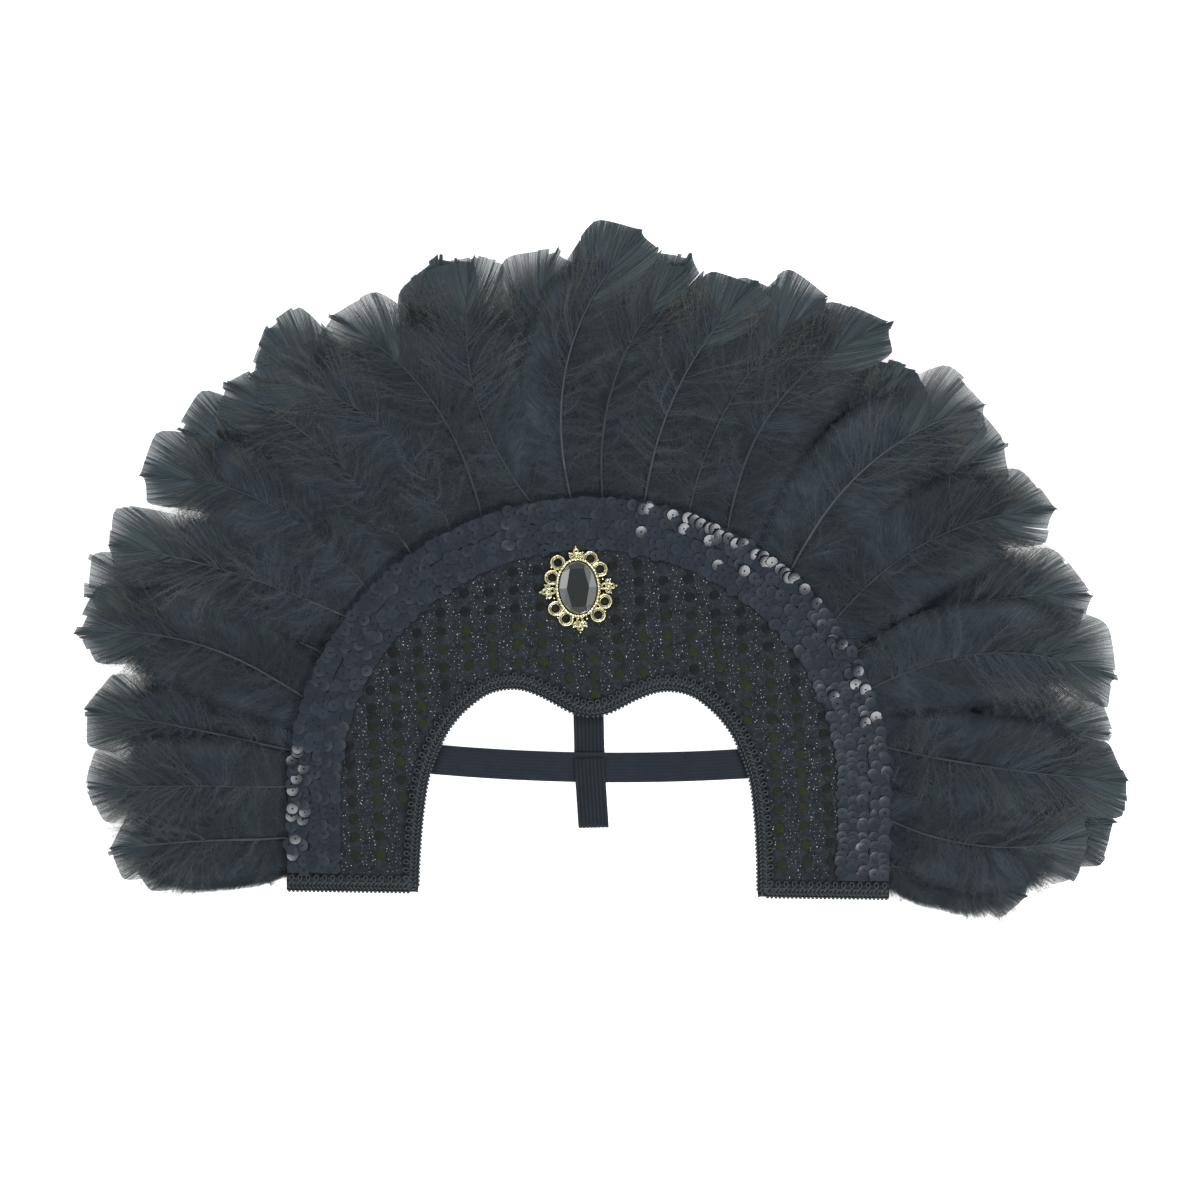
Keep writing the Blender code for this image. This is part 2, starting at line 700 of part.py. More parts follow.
def main():
    """Clear the scene, then build every piece into one collection."""
    for item in list(bpy.data.objects):
        bpy.data.objects.remove(item, do_unlink=True)
    collection = bpy.data.collections.new("feather_headdress")
    tools = bpy.data.collections.new("shaping")
    bpy.context.scene.collection.children.link(collection)
    bpy.context.scene.collection.children.link(tools)
    feather = make_material("feather_black", (0.022, 0.027, 0.033), 0.75)
    cloth = make_material("dotted_cloth", (0.024, 0.028, 0.036), 0.8)
    sequin = make_material("sequin_black", (0.05, 0.055, 0.06), 0.2)
    braid = make_material("gimp_braid", (0.02, 0.025, 0.03), 0.55)
    elastic = make_material("elastic_black", (0.02, 0.024, 0.028), 0.8)
    gold = make_material("cast_gold", (0.72, 0.62, 0.26), 0.28, 1.0)
    stone = make_material("black_stone", (0.01, 0.01, 0.012), 0.05)
    build_feather_row(ROW_BACK, BACK_FEATHERS, BACK_ROW_Z, collection, tools, feather)
    build_feather_row(ROW_FRONT, FRONT_FEATHERS, FRONT_ROW_Z, collection, tools, feather)
    build_panel(collection, cloth)
    build_sequin_trims(collection, tools, sequin)
    build_braid(collection, braid)
    build_elastics(collection, elastic)
    build_setting(collection, tools, gold)
    build_stone(collection, stone)


main()
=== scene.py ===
"""Looks of the feather headdress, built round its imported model.

Laid out as an add-on: settings, one operator for each group of pieces, one panel. The headdress lies on
its back, front up, and everything is in metres in the frame's own axes.
"""
import math

import bpy
import numpy as np
from bpy.props import FloatProperty, FloatVectorProperty, IntProperty, PointerProperty
from mathutils import Matrix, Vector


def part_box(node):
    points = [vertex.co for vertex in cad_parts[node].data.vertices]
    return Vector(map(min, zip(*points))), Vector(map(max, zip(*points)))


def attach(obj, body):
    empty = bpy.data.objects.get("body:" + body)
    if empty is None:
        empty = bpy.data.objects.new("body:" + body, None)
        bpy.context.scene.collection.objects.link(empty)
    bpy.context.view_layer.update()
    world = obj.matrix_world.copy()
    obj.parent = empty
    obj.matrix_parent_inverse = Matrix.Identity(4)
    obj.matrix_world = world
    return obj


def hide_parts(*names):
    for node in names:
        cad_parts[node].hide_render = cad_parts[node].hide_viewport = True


bl_info = {
    "name": "Feather headdress",
    "version": (1, 0, 0),
    "blender": (4, 5, 0),
    "location": "View3D > Sidebar > Headdress",
    "description": "Feathers, sequins, braid, cloth, elastics and brooch of a showgirl headdress",
    "category": "Add Mesh",
}

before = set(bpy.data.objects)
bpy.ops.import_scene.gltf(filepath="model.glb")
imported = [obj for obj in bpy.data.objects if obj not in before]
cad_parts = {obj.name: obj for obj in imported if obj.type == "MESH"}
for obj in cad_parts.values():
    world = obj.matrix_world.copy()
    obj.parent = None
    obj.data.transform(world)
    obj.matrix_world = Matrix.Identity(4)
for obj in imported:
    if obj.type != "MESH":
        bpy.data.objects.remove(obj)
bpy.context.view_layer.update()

MM = 0.001

# Outline of the arch panel
PANEL_LOW, PANEL_HIGH = (np.array(corner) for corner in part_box("panel"))
PANEL_HALF_WIDTH = float(PANEL_HIGH[0])
PANEL_TOP_Y = float(PANEL_HIGH[1])
FOOT_Y = float(PANEL_LOW[1])
PANEL_Z = float(PANEL_LOW[2])
PANEL_TOP_Z = float(PANEL_HIGH[2])
ARCH_CENTRE_Y = -10.0 * MM
ARCH_RISE = PANEL_TOP_Y - ARCH_CENTRE_Y
OPENING_HALF_WIDTH = 85.0 * MM
SCALLOP_TOP_Y = 39.0 * MM
TRIM_Z = float(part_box("braid_trim")[0][2])

# Half of the opening's edge from the widow's peak to the foot. Columns: share of the opening's half
# width, share of the height from the foot to the top of the scallop.
BROW_POINTS = (
    (0.000, 0.868),
    (0.110, 0.888),
    (0.290, 0.964),
    (0.435, 1.000),
    (0.590, 0.980),
    (0.715, 0.908),
    (0.795, 0.838),
    (0.862, 0.750),
    (0.940, 0.585),
    (0.976, 0.390),
    (0.994, 0.180),
    (1.000, 0.000),
)

# Feather rows, as the solids have them
FEATHER_REACH = 130.0 * MM
FEATHER_BREADTH = 48.0 * MM
DOWN_START = 1.0 * MM
DOWN_FULL = 18.0 * MM
DOWN_END = 58.0 * MM
VANE_START = 112.0 * MM
DOWN_THICKNESS = 6.6 * MM
VANE_THICKNESS = 1.6 * MM
ROOT_THICKNESS = 0.9 * MM
TIP_CURL = 9.0 * MM
CURL_LENGTH = 76.0 * MM
ROW_STEP = 1.6 * MM
ROW_GAP = 1.4 * MM

# Where the vane starts and the down ends, as shares of the quill, and how broad their strands are
VANE_FROM = 0.43
DOWN_TO = 0.78
VANE_BARB = 0.24 * MM
BARBULE_WIDTH = 0.20 * MM
# Least heights of strands above the surface that the headdress lies on
VANE_FLOOR = 0.4 * MM
DOWN_FLOOR = 0.5 * MM
BARBULE_FLOOR = 0.3 * MM
# The tapes that the rows are stitched to
TAPE_INSETS = (3.0 * MM, 22.0 * MM)
TAPE_STOP = 6.0 * MM
TAPE_THICKNESS = 1.1 * MM
FRONT_TAPE_Z = 1.7 * MM
BACK_TAPE_Z = 0.1 * MM
# A mesh is closed before a further feather, which takes up to the allowance, could pass the limit
PIECE_LIMIT = 195000
FEATHER_ALLOWANCE = 24000

# One row per feather. Columns: place of the root along the outer edge from the left foot to the right
# foot, reach, lean in degrees off the edge's normal, bow of the quill, breadth, turn of the tip in
# degrees. Reach, bow and breadth are shares.
FRONT_FEATHERS = (
    (0.045, 0.69, 4, -0.02, 0.90, 8),
    (0.090, 0.78, 1, -0.01, 0.95, -6),
    (0.170, 0.91, 3, -0.10, 1.00, 12),
    (0.250, 0.95, 20, -0.04, 0.95, -14),
    (0.280, 0.98, 17, -0.13, 0.95, 10),
    (0.330, 0.97, 12, -0.07, 1.00, -8),
    (0.370, 0.98, 27, -0.17, 1.05, 16),
    (0.400, 0.98, 17, -0.12, 1.00, -10),
    (0.445, 0.98, 2, 0.12, 1.05, 6),
    (0.480, 1.08, -19, 0.14, 0.95, -18),
    (0.508, 0.95, -18, 0.12, 0.95, 12),
    (0.545, 0.95, -17, 0.09, 1.00, -8),
    (0.585, 0.99, -14, 0.10, 1.00, 14),
    (0.622, 1.02, -12, 0.15, 1.05, -12),
    (0.688, 1.00, -9, 0.12, 1.05, 10),
    (0.746, 0.96, -10, 0.12, 1.05, -16),
    (0.814, 0.94, -19, 0.13, 1.05, 8),
    (0.868, 0.93, -16, -0.02, 1.00, -10),
    (0.932, 0.77, -3, -0.09, 0.95, 12),
)
BACK_FEATHERS = (
    (0.026, 0.58, 6, 0.00, 0.50, 0),
    (0.122, 0.81, -4, -0.01, 1.00, 10),
    (0.212, 0.94, 15, -0.07, 1.05, -8),
    (0.302, 0.97, 14, -0.08, 1.00, 12),
    (0.354, 1.04, 8, -0.02, 1.00, -6),
    (0.420, 1.01, -2, 0.06, 1.05, 8),
    (0.462, 0.97, -9, 0.11, 1.00, -12),
    (0.525, 0.98, -10, 0.08, 1.00, 8),
    (0.565, 0.95, -14, 0.08, 1.00, -8),
    (0.602, 0.93, -12, 0.08, 1.00, 6),
    (0.660, 0.92, -5, 0.05, 1.05, -10),
    (0.716, 0.95, -5, 0.06, 1.05, 12),
    (0.780, 0.94, -15, 0.08, 1.05, -6),
    (0.840, 0.90, -19, -0.01, 1.00, 8),
    (0.905, 0.88, -8, -0.05, 1.00, -8),
    (0.972, 0.54, -12, 0.02, 0.70, 4),
)

# Brooch
BROOCH_CENTRE = np.array((-7.1 * MM, 90.0 * MM))
BROOCH_TILT = math.radians(4.0)
STONE_BASE, STONE_TOP = (float(corner[2]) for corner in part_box("brooch_stone"))
SETTING_BASE, SETTING_TOP = (float(corner[2]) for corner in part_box("brooch_setting"))
STONE_WIDTH = 18.7 * MM
STONE_LENGTH = 26.2 * MM
BEZEL_WALL = 1.9 * MM
BEZEL_PLAY = 0.5 * MM
BEZEL_FLOOR = 6.0 * MM
BEZEL_SIDES = 120
MILL_COUNT = 50
MILL_RADIUS = 0.92 * MM
# Middle of the milled beads as a share of the bezel's wall
MILL_PLACE = 0.46

# Rings round the stone, as shares of the stone's width and length
BROOCH_RINGS = (
    (-0.500, 0.500),
    (-0.680, 0.220),
    (-0.630, -0.375),
    (-0.365, -0.580),
    (0.500, -0.540),
    (0.695, -0.290),
    (0.620, 0.330),
    (0.375, 0.540),
)
# Rings whose middles lie closer than this have beads between them
RING_NEIGHBOURS = 11.0 * MM
# The bands that make up a ring. Columns: radius, wire radius, flatness, lift, shine. The shine is painted
# light and shade on the gold: the sunk middle band is painted dark. Lengths are in millimetres.
RING_BANDS = (
    (3.35, 0.60, 1.30, 0.20, 0.85),
    (2.85, 0.60, 0.70, -0.20, 0.00),
    (2.42, 0.34, 1.30, 0.05, 0.45),
)
# Columns: direction in degrees, distance of the leaf's middle as a share of the stone's length
BROOCH_LEAVES = (
    (90, 0.620),
    (0, 0.580),
    (-90, 0.700),
    (-176, 0.573),
)
LEAF_RADIUS = 2.1 * MM
LEAF_SPREAD = 1.12
# Small rings of a leaf. Columns: places outwards and sideways in steps of the leaf, size as a share.
LEAF_RINGS = (
    (-0.90, 0.00, 1.05),
    (0.00, 0.95, 0.80),
    (0.00, -0.95, 0.80),
    (0.85, 0.00, 0.85),
)
# Beads of a leaf. Columns: places as for the rings, radius in millimetres.
LEAF_BEADS = (
    (1.75, 0.00, 0.62),
    (0.55, 1.45, 0.50),
    (0.55, -1.45, 0.50),
    (0.10, 0.00, 0.70),
    (-1.10, 1.60, 0.60),
    (-1.10, -1.60, 0.60),
)

# Cut of the stone: its six-sided table, its girdle's height over its back and its rim's depth
TABLE_HALF_WIDTH = 5.6 * MM
TABLE_HALF_LENGTH = 9.6 * MM
TABLE_NARROWING = 0.63
GIRDLE_HEIGHT = 2.2 * MM
RIM_DROP = 0.15 * MM
RIM_DEPTH = 0.9 * MM
BACK_SHARE = 0.86
RIM_SIDES = 72
# Corners of the girdle. Columns: direction in degrees, brightness of the facet that starts there, a painted
# reflection.
STONE_GIRDLE = (
    (0, 0.60),
    (38, 0.30),
    (62, 0.10),
    (90, 0.10),
    (118, 0.30),
    (142, 0.85),
    (180, 0.35),
    (218, 0.22),
    (242, 0.14),
    (270, 0.10),
    (298, 0.12),
    (322, 0.35),
)

# Cloth
CLOTH_STEPS = 361
CLOTH_BREADTH = 90.0 * MM
EDGE_ROUNDING = 0.6 * MM
ROUNDING_REACH = 0.9 * MM
PUCKER = 0.1 * MM
# Half axes of the ovals round the brooch that hold no dots and no sequins
DOT_CLEARANCE = (19.0 * MM, 21.0 * MM)
SEQUIN_CLEARANCE = (16.0 * MM, 22.5 * MM)
# How far the dots and the glitter stay from the outer edge, the opening's edge and the feet
CLOTH_MARGINS = (27.0 * MM, 8.6 * MM, 9.0 * MM)
# Dots lie in columns that lean a little. The glitter lies in strings between them, at these shares of
# the way from one column to the next.
DOT_COLUMN = 12.5 * MM
DOT_PITCH = 9.1 * MM
DOT_SLANT = math.radians(4.5)
DOT_START = (62.0 * MM, 78.0 * MM)
GLITTER_STRINGS = (0.26, 0.42, 0.58, 0.74)
GLITTER_PITCH = 1.9 * MM

# Sequins. Columns: node, rows as pairs of the inset from the outer edge and the share of glints.
SEQUIN_TRIMS = (
    ("sequin_trim_outer", ((3.0 * MM, 1.00), (8.0 * MM, 0.45))),
    ("sequin_trim_inner", ((13.6 * MM, 0.06), (18.6 * MM, 0.06), (23.8 * MM, 0.06))),
)
SEQUIN_FOOT = 11.2 * MM
SEQUIN_STEP = 3.0 * MM
BACKING_MARGIN = 2.6 * MM
BACKING_STOP = 8.7 * MM
KEY_PLACE = (0.80, -0.85, 1.30)
TOP_PLACE = (-0.10, 1.30, 1.30)
# Stretches where sequins face a light. Columns: start and end along the edge as shares, the light's
# place, chance of a sequin of the outermost row.
SEQUIN_GLINTS = (
    (0.535, 0.600, KEY_PLACE, 0.45),
    (0.600, 0.700, KEY_PLACE, 0.85),
    (0.700, 0.840, KEY_PLACE, 0.30),
    (0.030, 0.128, TOP_PLACE, 0.48),
)

# Braid
# Columns: place across the braid, swing across it, swing along it, height and radius, in millimetres.
BRAID_LOOPS = (
    (2.25, 1.85, 1.95, 1.00, 0.52),
)
# Columns: place across the braid, slant in degrees, length, width, height, repeats in each loop's pitch.
BRAID_GRAINS = (
    (-0.15, 38, 2.8, 1.05, 0.95, 2),
    (-1.95, -38, 2.8, 1.05, 0.95, 2),
    (-3.70, 4, 1.65, 1.75, 0.60, 2),
)
BRAID_MIDDLE = 3.7 * MM
# Section of the ground that carries the cords. Columns: place across, height, in millimetres.
BRAID_GROUND = (
    (-3.7, 0.05),
    (-3.5, 0.35),
    (-1.0, 0.60),
    (3.0, 0.35),
    (3.3, 0.05),
)

# Elastics
HEAD_WIDTH = 15.0 * MM
HEAD_THICKNESS = 1.3 * MM
HEAD_RIBS = 9
HEAD_RIB_DEPTH = 0.35
CROWN_WIDTH = 15.2 * MM
CROWN_THICKNESS = 1.2 * MM
CROWN_RIBS = 8
CROWN_LEVEL = 0.6 * MM
CROWN_TURN = math.radians(2.0)
CROWN_SWAY = 0.045
LOOP_START = -20.0 * MM
LOOP_END = 4.5 * MM
# The crown elastic's way down from behind the peak. Columns: place up the panel, height, in millimetres.
CROWN_BACK = (
    (43.0, 2.30),
    (26.0, 2.30),
    (20.5, 2.20),
    (16.0, 1.30),
    (11.5, 0.65),
    (6.0, 0.60),
)

# Photo frame
IMAGE_WIDTH = 1200
MM_PER_PIXEL = 0.5
VIEW_CENTRE = (4.0 * MM, 84.0 * MM)
LENS_MM = 100.0
SENSOR_MM = 36.0
CAMERA_ROLL = math.radians(0.8)
# Height over the table at which the scale holds
SCALE_LEVEL = 8.0 * MM

# Stage
FLOOR_HALF = 4.0
FLOOR_DROP = 0.5 * MM
LIGHT_AIM = (0.0, 0.08, 0.0)
LIGHT_SIZE = 0.60
KEY_POWER = 15.0
TOP_POWER = 9.0
# The studio's walls and ceiling. Columns: height of the direction, brightness.
SKY = (
    (0.00, 0.95),
    (0.15, 0.95),
    (0.20, 0.12),
    (0.52, 0.22),
    (0.66, 1.25),
    (0.90, 1.25),
    (0.94, 0.22),
    (1.00, 0.22),
)


class HeaddressSettings(bpy.types.PropertyGroup):
    """Sizes and colours that a user would change."""

    feather_colour: FloatVectorProperty(
        name="Feather", description="Colour of the down", subtype="COLOR", size=3, min=0.0, max=1.0,
        default=(0.032, 0.043, 0.052))
    tip_colour: FloatVectorProperty(
        name="Feather tip", description="Colour of the sleek vane at the tip", subtype="COLOR", size=3,
        min=0.0, max=1.0, default=(0.029, 0.044, 0.051))
    # The fringe colour is painted light: the thin ends of the upper down are lighter, as if lit through from
    # the white floor.
    backlit_fringe_colour: FloatVectorProperty(
        name="Fringe", description="Colour of the thin ends of the upper down", subtype="COLOR", size=3,
        min=0.0, max=1.0, default=(0.074, 0.076, 0.068))
    quill_colour: FloatVectorProperty(
        name="Quill", description="Colour of the quills", subtype="COLOR", size=3, min=0.0, max=1.0,
        default=(0.054, 0.062, 0.065))
    cloth_colour: FloatVectorProperty(
        name="Cloth", description="Colour of the panel's cloth", subtype="COLOR", size=3, min=0.0,
        max=1.0, default=(0.015, 0.019, 0.022))
    sequin_colour: FloatVectorProperty(
        name="Sequin", description="Colour of the cup sequins", subtype="COLOR", size=3, min=0.0,
        max=1.0, default=(0.015, 0.021, 0.029))
    gold_colour: FloatVectorProperty(
        name="Gold", description="Colour of the cast setting", subtype="COLOR", size=3, min=0.0,
        max=1.0, default=(0.96, 0.92, 0.64))
    barb_spacing: FloatProperty(
        name="Barb spacing", description="Distance between single barbs along a vane", unit="LENGTH",
        default=1.10 * MM, min=0.2 * MM, max=4.0 * MM)
    down_barbs: IntProperty(
        name="Down barbs", description="Downy barbs on each side of a feather", default=140, min=8,
        max=200)
    sequin_size: FloatProperty(
        name="Sequin size", description="Diameter of a cup sequin", unit="LENGTH", default=6.0 * MM,
        min=2.0 * MM, max=12.0 * MM)
    dot_size: FloatProperty(
        name="Dot size", description="Diameter of a glued spangle dot", unit="LENGTH",
        default=5.0 * MM, min=2.0 * MM, max=12.0 * MM)
    braid_pitch: FloatProperty(
        name="Braid pitch", description="Distance between loops of the gimp braid", unit="LENGTH",
        default=4.1 * MM, min=2.0 * MM, max=10.0 * MM)


# Arrays into meshes


class Pile:
    """Vertex, face and attribute arrays that are joined into one mesh."""

    def __init__(self, *names):
        self.names = names
        self.verts = []
        self.tris = []
        self.quads = []
        self.values = {name: [] for name in names}
        self.count = 0

    def add(self, verts, quads=None, tris=None, **values):
        """Add points, the faces between them and a value of each attribute for all or each of them."""
        verts = np.asarray(verts, dtype=np.float64).reshape(-1, 3)
        if quads is not None:
            self.quads.append(np.asarray(quads, dtype=np.int64).reshape(-1, 4) + self.count)
        if tris is not None:
            self.tris.append(np.asarray(tris, dtype=np.int64).reshape(-1, 3) + self.count)
        for name in self.names:
            value = np.broadcast_to(values.get(name, 0.0), (len(verts),))
            self.values[name].append(np.asarray(value, dtype=np.float32))
        self.verts.append(verts)
        self.count += len(verts)

    def triangles(self):
        """How many triangles the mesh has so far, a quad being two."""
        return sum(len(tris) for tris in self.tris) + 2 * sum(len(quads) for quads in self.quads)

    def make(self, name, material, smooth=True):
        """Write the arrays into one mesh object at the origin."""
        verts = np.vstack(self.verts)
        tris = np.vstack(self.tris) if self.tris else np.zeros((0, 3), dtype=np.int64)
        quads = np.vstack(self.quads) if self.quads else np.zeros((0, 4), dtype=np.int64)
        mesh = bpy.data.meshes.new(name)
        mesh.vertices.add(len(verts))
        mesh.vertices.foreach_set("co", verts.astype(np.float32).ravel())
        corners = np.concatenate((tris.ravel(), quads.ravel())).astype(np.int32)
        mesh.loops.add(len(corners))
        mesh.loops.foreach_set("vertex_index", corners)
        mesh.polygons.add(len(tris) + len(quads))
        starts = np.concatenate((np.arange(len(tris)) * 3, tris.size + np.arange(len(quads)) * 4))
        mesh.polygons.foreach_set("loop_start", starts.astype(np.int32))
        mesh.update(calc_edges=True)
        mesh.polygons.foreach_set("use_smooth", np.full(len(mesh.polygons), smooth))
        for key in self.names:
            layer = mesh.attributes.new(key, "FLOAT", "POINT")
            layer.data.foreach_set("value", np.concatenate(self.values[key]))
        mesh.materials.append(material)
        item = bpy.data.objects.new(name, mesh)
        bpy.context.scene.collection.objects.link(item)
        return item


def grid_quads(rows, columns, wrap=False):
    """Quads between neighbouring points of a grid, with the columns closed into a ring by wrap."""
    index = np.arange(rows * columns).reshape(rows, columns)
    right = np.roll(index, -1, axis=1)
    if not wrap:
        index = index[:, :-1]
        right = right[:, :-1]
    return np.stack((index[:-1], right[:-1], right[1:], index[1:]), axis=-1).reshape(-1, 4)


def many_quads(quads, copies, size):
    """The same quads for each copy of a shape with so many vertices."""
    return (quads[None] + (np.arange(copies) * size)[:, None, None]).reshape(-1, quads.shape[1])


def full_turn(steps):
    """Angles at even steps of a full turn."""
    return 2.0 * np.pi * np.arange(steps) / steps


def ring_stack(sides, levels):
    """Rings round the origin as rows of points. Levels hold each ring's radius and height."""
    angle = full_turn(sides)
    return np.vstack([np.column_stack((np.cos(angle) * r, np.sin(angle) * r, np.full(sides, z)))
                      for r, z in levels])


def pole_tris(rings, sides):
    """Triangles from the first and last of some rings to the two points that follow the rings."""
    first = np.arange(sides)
    last = (rings - 1) * sides + first
    pole = np.full(sides, rings * sides)
    return np.vstack((np.stack((first, np.roll(first, -1), pole), axis=-1),
                      np.stack((np.roll(last, -1), last, pole + 1), axis=-1)))


def raised(flat, height):
    """Places in the plane with their heights added."""
    return np.concatenate((flat, height[..., None]), axis=-1)


def border(grid):
    """The outermost points of a grid, once round it."""
    return np.concatenate((grid[0], grid[1:, -1], grid[-1, -2::-1], grid[-2:0:-1, 0]))


def place_piece(pile, name, material, node=None, smooth=True):
    """Make a pile's object. It rides on the root and may stand for a solid, whose part it hides."""
    item = pile.make(name, material, smooth)
    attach(item, "root")
    if node:
        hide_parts(node)


def unit(vectors):
    """Vectors scaled to length one."""
    return vectors / np.maximum(np.linalg.norm(vectors, axis=-1, keepdims=True), 1e-12)


def left_of(direction):
    """Directions in the plane turned a quarter turn to their left."""
    return np.stack((-direction[..., 1], direction[..., 0]), axis=-1)


def smooth(low, high, value):
    """Rise from 0 to 1 between two values, level at both ends."""
    share = np.clip((value - low) / (high - low), 0.0, 1.0)
    return share * share * (3.0 - 2.0 * share)


def tube(path, radius, sides):
    """A round section carried along a path: point = path + r (cos a * side + sin a * rise).

    Both ends are closed by a point.
    """
    path = np.asarray(path)
    radius = np.broadcast_to(radius, (len(path),))
    along = unit(np.gradient(path, axis=0))
    side = unit(np.cross(along, (0.0, 0.0, 1.0)) + (1e-9, 0.0, 0.0))
    rise = np.cross(side, along)
    angle = full_turn(sides)[None, :, None]
    ring = np.cos(angle) * side[:, None] + np.sin(angle) * rise[:, None]
    verts = path[:, None] + radius[:, None, None] * ring
    verts = np.vstack((verts.reshape(-1, 3), path[:1], path[-1:]))
    return verts, grid_quads(len(path), sides, wrap=True)[:, ::-1], pole_tris(len(path), sides)


# The arch's edges


def mitres(points):
    """The sideways step at each point of a run that keeps both neighbouring stretches parallel."""
    along = unit(np.diff(points, axis=0))
    side = left_of(along)
    before = np.vstack((side[:1], side))
    after = np.vstack((side, side[-1:]))
    return (before + after) / (1.0 + np.sum(before * after, axis=1))[:, None]


def outer_edge(inset=0.0, steps=160):
    """The arch's outer edge, moved inwards: left leg, half ellipse over the top, right leg."""
    turn = np.linspace(math.pi, 0.0, steps + 1)
    arch = np.column_stack((PANEL_HALF_WIDTH * np.cos(turn), ARCH_CENTRE_Y + ARCH_RISE * np.sin(turn)))
    leg_y = np.linspace(FOOT_Y, ARCH_CENTRE_Y, 12, endpoint=False)
    left = np.column_stack((np.full(len(leg_y), -PANEL_HALF_WIDTH), leg_y))
    points = np.vstack((left, arch, left[::-1] * (-1.0, 1.0)))
    return points - inset * mitres(points)


def inner_edge(steps=8):
    """The opening's edge from the left foot over the peak to the right foot, a smooth curve."""
    shares = np.array(BROW_POINTS)
    points = shares * (OPENING_HALF_WIDTH, SCALLOP_TOP_Y - FOOT_Y) + (0.0, FOOT_Y)
    ends = np.vstack((2 * points[0] - points[1], points, 2 * points[-1] - points[-2]))
    t = (np.arange(steps) / steps)[None, :, None]
    before, start, end, after = (ends[i:len(ends) - 3 + i][:, None] for i in range(4))
    curve = 0.5 * (2 * start + (end - before) * t + (2 * before - 5 * start + 4 * end - after) * t ** 2
                   + (3 * start - before - 3 * end + after) * t ** 3)
    half = np.vstack((curve.reshape(-1, 2), points[-1:]))
    return np.vstack((half[:0:-1] * (-1.0, 1.0), half))


def run_lengths(points):
    """Length along a run of points up to each of them."""
    return np.concatenate(([0.0], np.cumsum(np.linalg.norm(np.diff(points, axis=0), axis=1))))


def along_run(points, places):
    """Points and directions at given lengths along a run."""
    lengths = run_lengths(points)
    heading = unit(np.gradient(points, axis=0))
    spot = np.stack([np.interp(places, lengths, points[:, axis]) for axis in range(2)], axis=-1)
    ahead = np.stack([np.interp(places, lengths, heading[:, axis]) for axis in range(2)], axis=-1)
    return spot, unit(ahead)


def signed_distance(points, run):
    """Distance from each point to a run, positive on the run's left."""
    side = mitres(run)[:-1]
    spans = np.diff(run, axis=0)
    out = np.empty(len(points))
    for part in np.array_split(np.arange(len(points)), max(1, len(points) // 4000)):
        offset = points[part][:, None] - run[None, :-1]
        share = np.clip(np.sum(offset * spans, axis=2) / np.sum(spans * spans, axis=1), 0.0, 1.0)
        away = offset - share[..., None] * spans
        gap = np.linalg.norm(away, axis=2)
        nearest = np.argmin(gap, axis=1)
        rows = np.arange(len(part))
        facing = np.sum(away[rows, nearest] * side[nearest], axis=1)
        out[part] = np.where(facing >= 0.0, gap[rows, nearest], -gap[rows, nearest])
    return out


EDGE = outer_edge()
EDGE_COARSE = outer_edge(steps=60)
EDGE_RUN = run_lengths(EDGE)
BROW = inner_edge()


# Shader nodes


def add_node(tree, kind, **values):
    """A shader node with its attributes and inputs set."""
    node = tree.nodes.new(kind)
    for key, value in values.items():
        if hasattr(node, key):
            setattr(node, key, value)
        else:
            node.inputs[key].default_value = value
    return node


def set_input(tree, socket, value):
    """Link a socket into an input, or set the input's plain value."""
    if isinstance(value, bpy.types.NodeSocket):
        tree.links.new(value, socket)
    else:
        socket.default_value = value


def mix_colour(tree, share, first, second, blend="MIX"):
    """A colour mix whose factor and colours are sockets or values."""
    node = tree.nodes.new("ShaderNodeMix")
    node.data_type = "RGBA"
    node.blend_type = blend
    for socket, value in ((node.inputs[0], share), (node.inputs[6], first), (node.inputs[7], second)):
        set_input(tree, socket, value)
    return node.outputs[2]


def math_node(tree, operation, *values):
    """A math node whose inputs are sockets or values."""
    node = tree.nodes.new("ShaderNodeMath")
    node.operation = operation
    for socket, value in zip(node.inputs, values):
        set_input(tree, socket, value)
    return node.outputs[0]


def attribute(tree, name):
    """A value that the mesh carries at each point."""
    node = tree.nodes.new("ShaderNodeAttribute")
    node.attribute_name = name
    return node.outputs["Fac"]


def colour4(colour, factor=1.0):
    """A colour made darker or lighter by a factor, with full alpha."""
    return (*(value * factor for value in colour), 1.0)


def new_group(name, inputs, outputs):
    """A shader group with value inputs and value or colour outputs."""
    group = bpy.data.node_groups.new(name, "ShaderNodeTree")
    for key, default in inputs:
        socket = group.interface.new_socket(key, in_out="INPUT", socket_type="NodeSocketFloat")
        socket.default_value = default
    for key, kind in outputs:
        group.interface.new_socket(key, in_out="OUTPUT", socket_type=kind)
    start = group.nodes.new("NodeGroupInput")
    end = group.nodes.new("NodeGroupOutput")
    return group, start, end


def weave_group():
    """Crossed threads: the height is the product of two sine waves, with soft uneven spots."""
    if "weave" in bpy.data.node_groups:
        return bpy.data.node_groups["weave"]
    group, start, end = new_group(
        "weave", (("Threads", 900.0), ("Unevenness", 0.4)),
        (("Height", "NodeSocketFloat"), ("Shade", "NodeSocketFloat")))
    place = group.nodes.new("ShaderNodeTexCoord")
    split = group.nodes.new("ShaderNodeSeparateXYZ")
    group.links.new(place.outputs["Object"], split.inputs[0])
    waves = []
    for axis in range(2):
        scaled = math_node(group, "MULTIPLY", split.outputs[axis], start.outputs["Threads"])
        turned = math_node(group, "MULTIPLY", scaled, 2.0 * math.pi)
        waves.append(math_node(group, "SINE", turned))
    height = math_node(group, "MULTIPLY", waves[0], waves[1])
    noise = add_node(group, "ShaderNodeTexNoise", Scale=160.0, Detail=3.0)
    group.links.new(place.outputs["Object"], noise.inputs["Vector"])
    uneven = math_node(group, "MULTIPLY", noise.outputs["Fac"], start.outputs["Unevenness"])
    lifted = math_node(group, "MULTIPLY", height, 0.25)
    shade = math_node(group, "ADD", lifted, uneven)
    group.links.new(height, end.inputs["Height"])
    group.links.new(shade, end.inputs["Shade"])
    return group


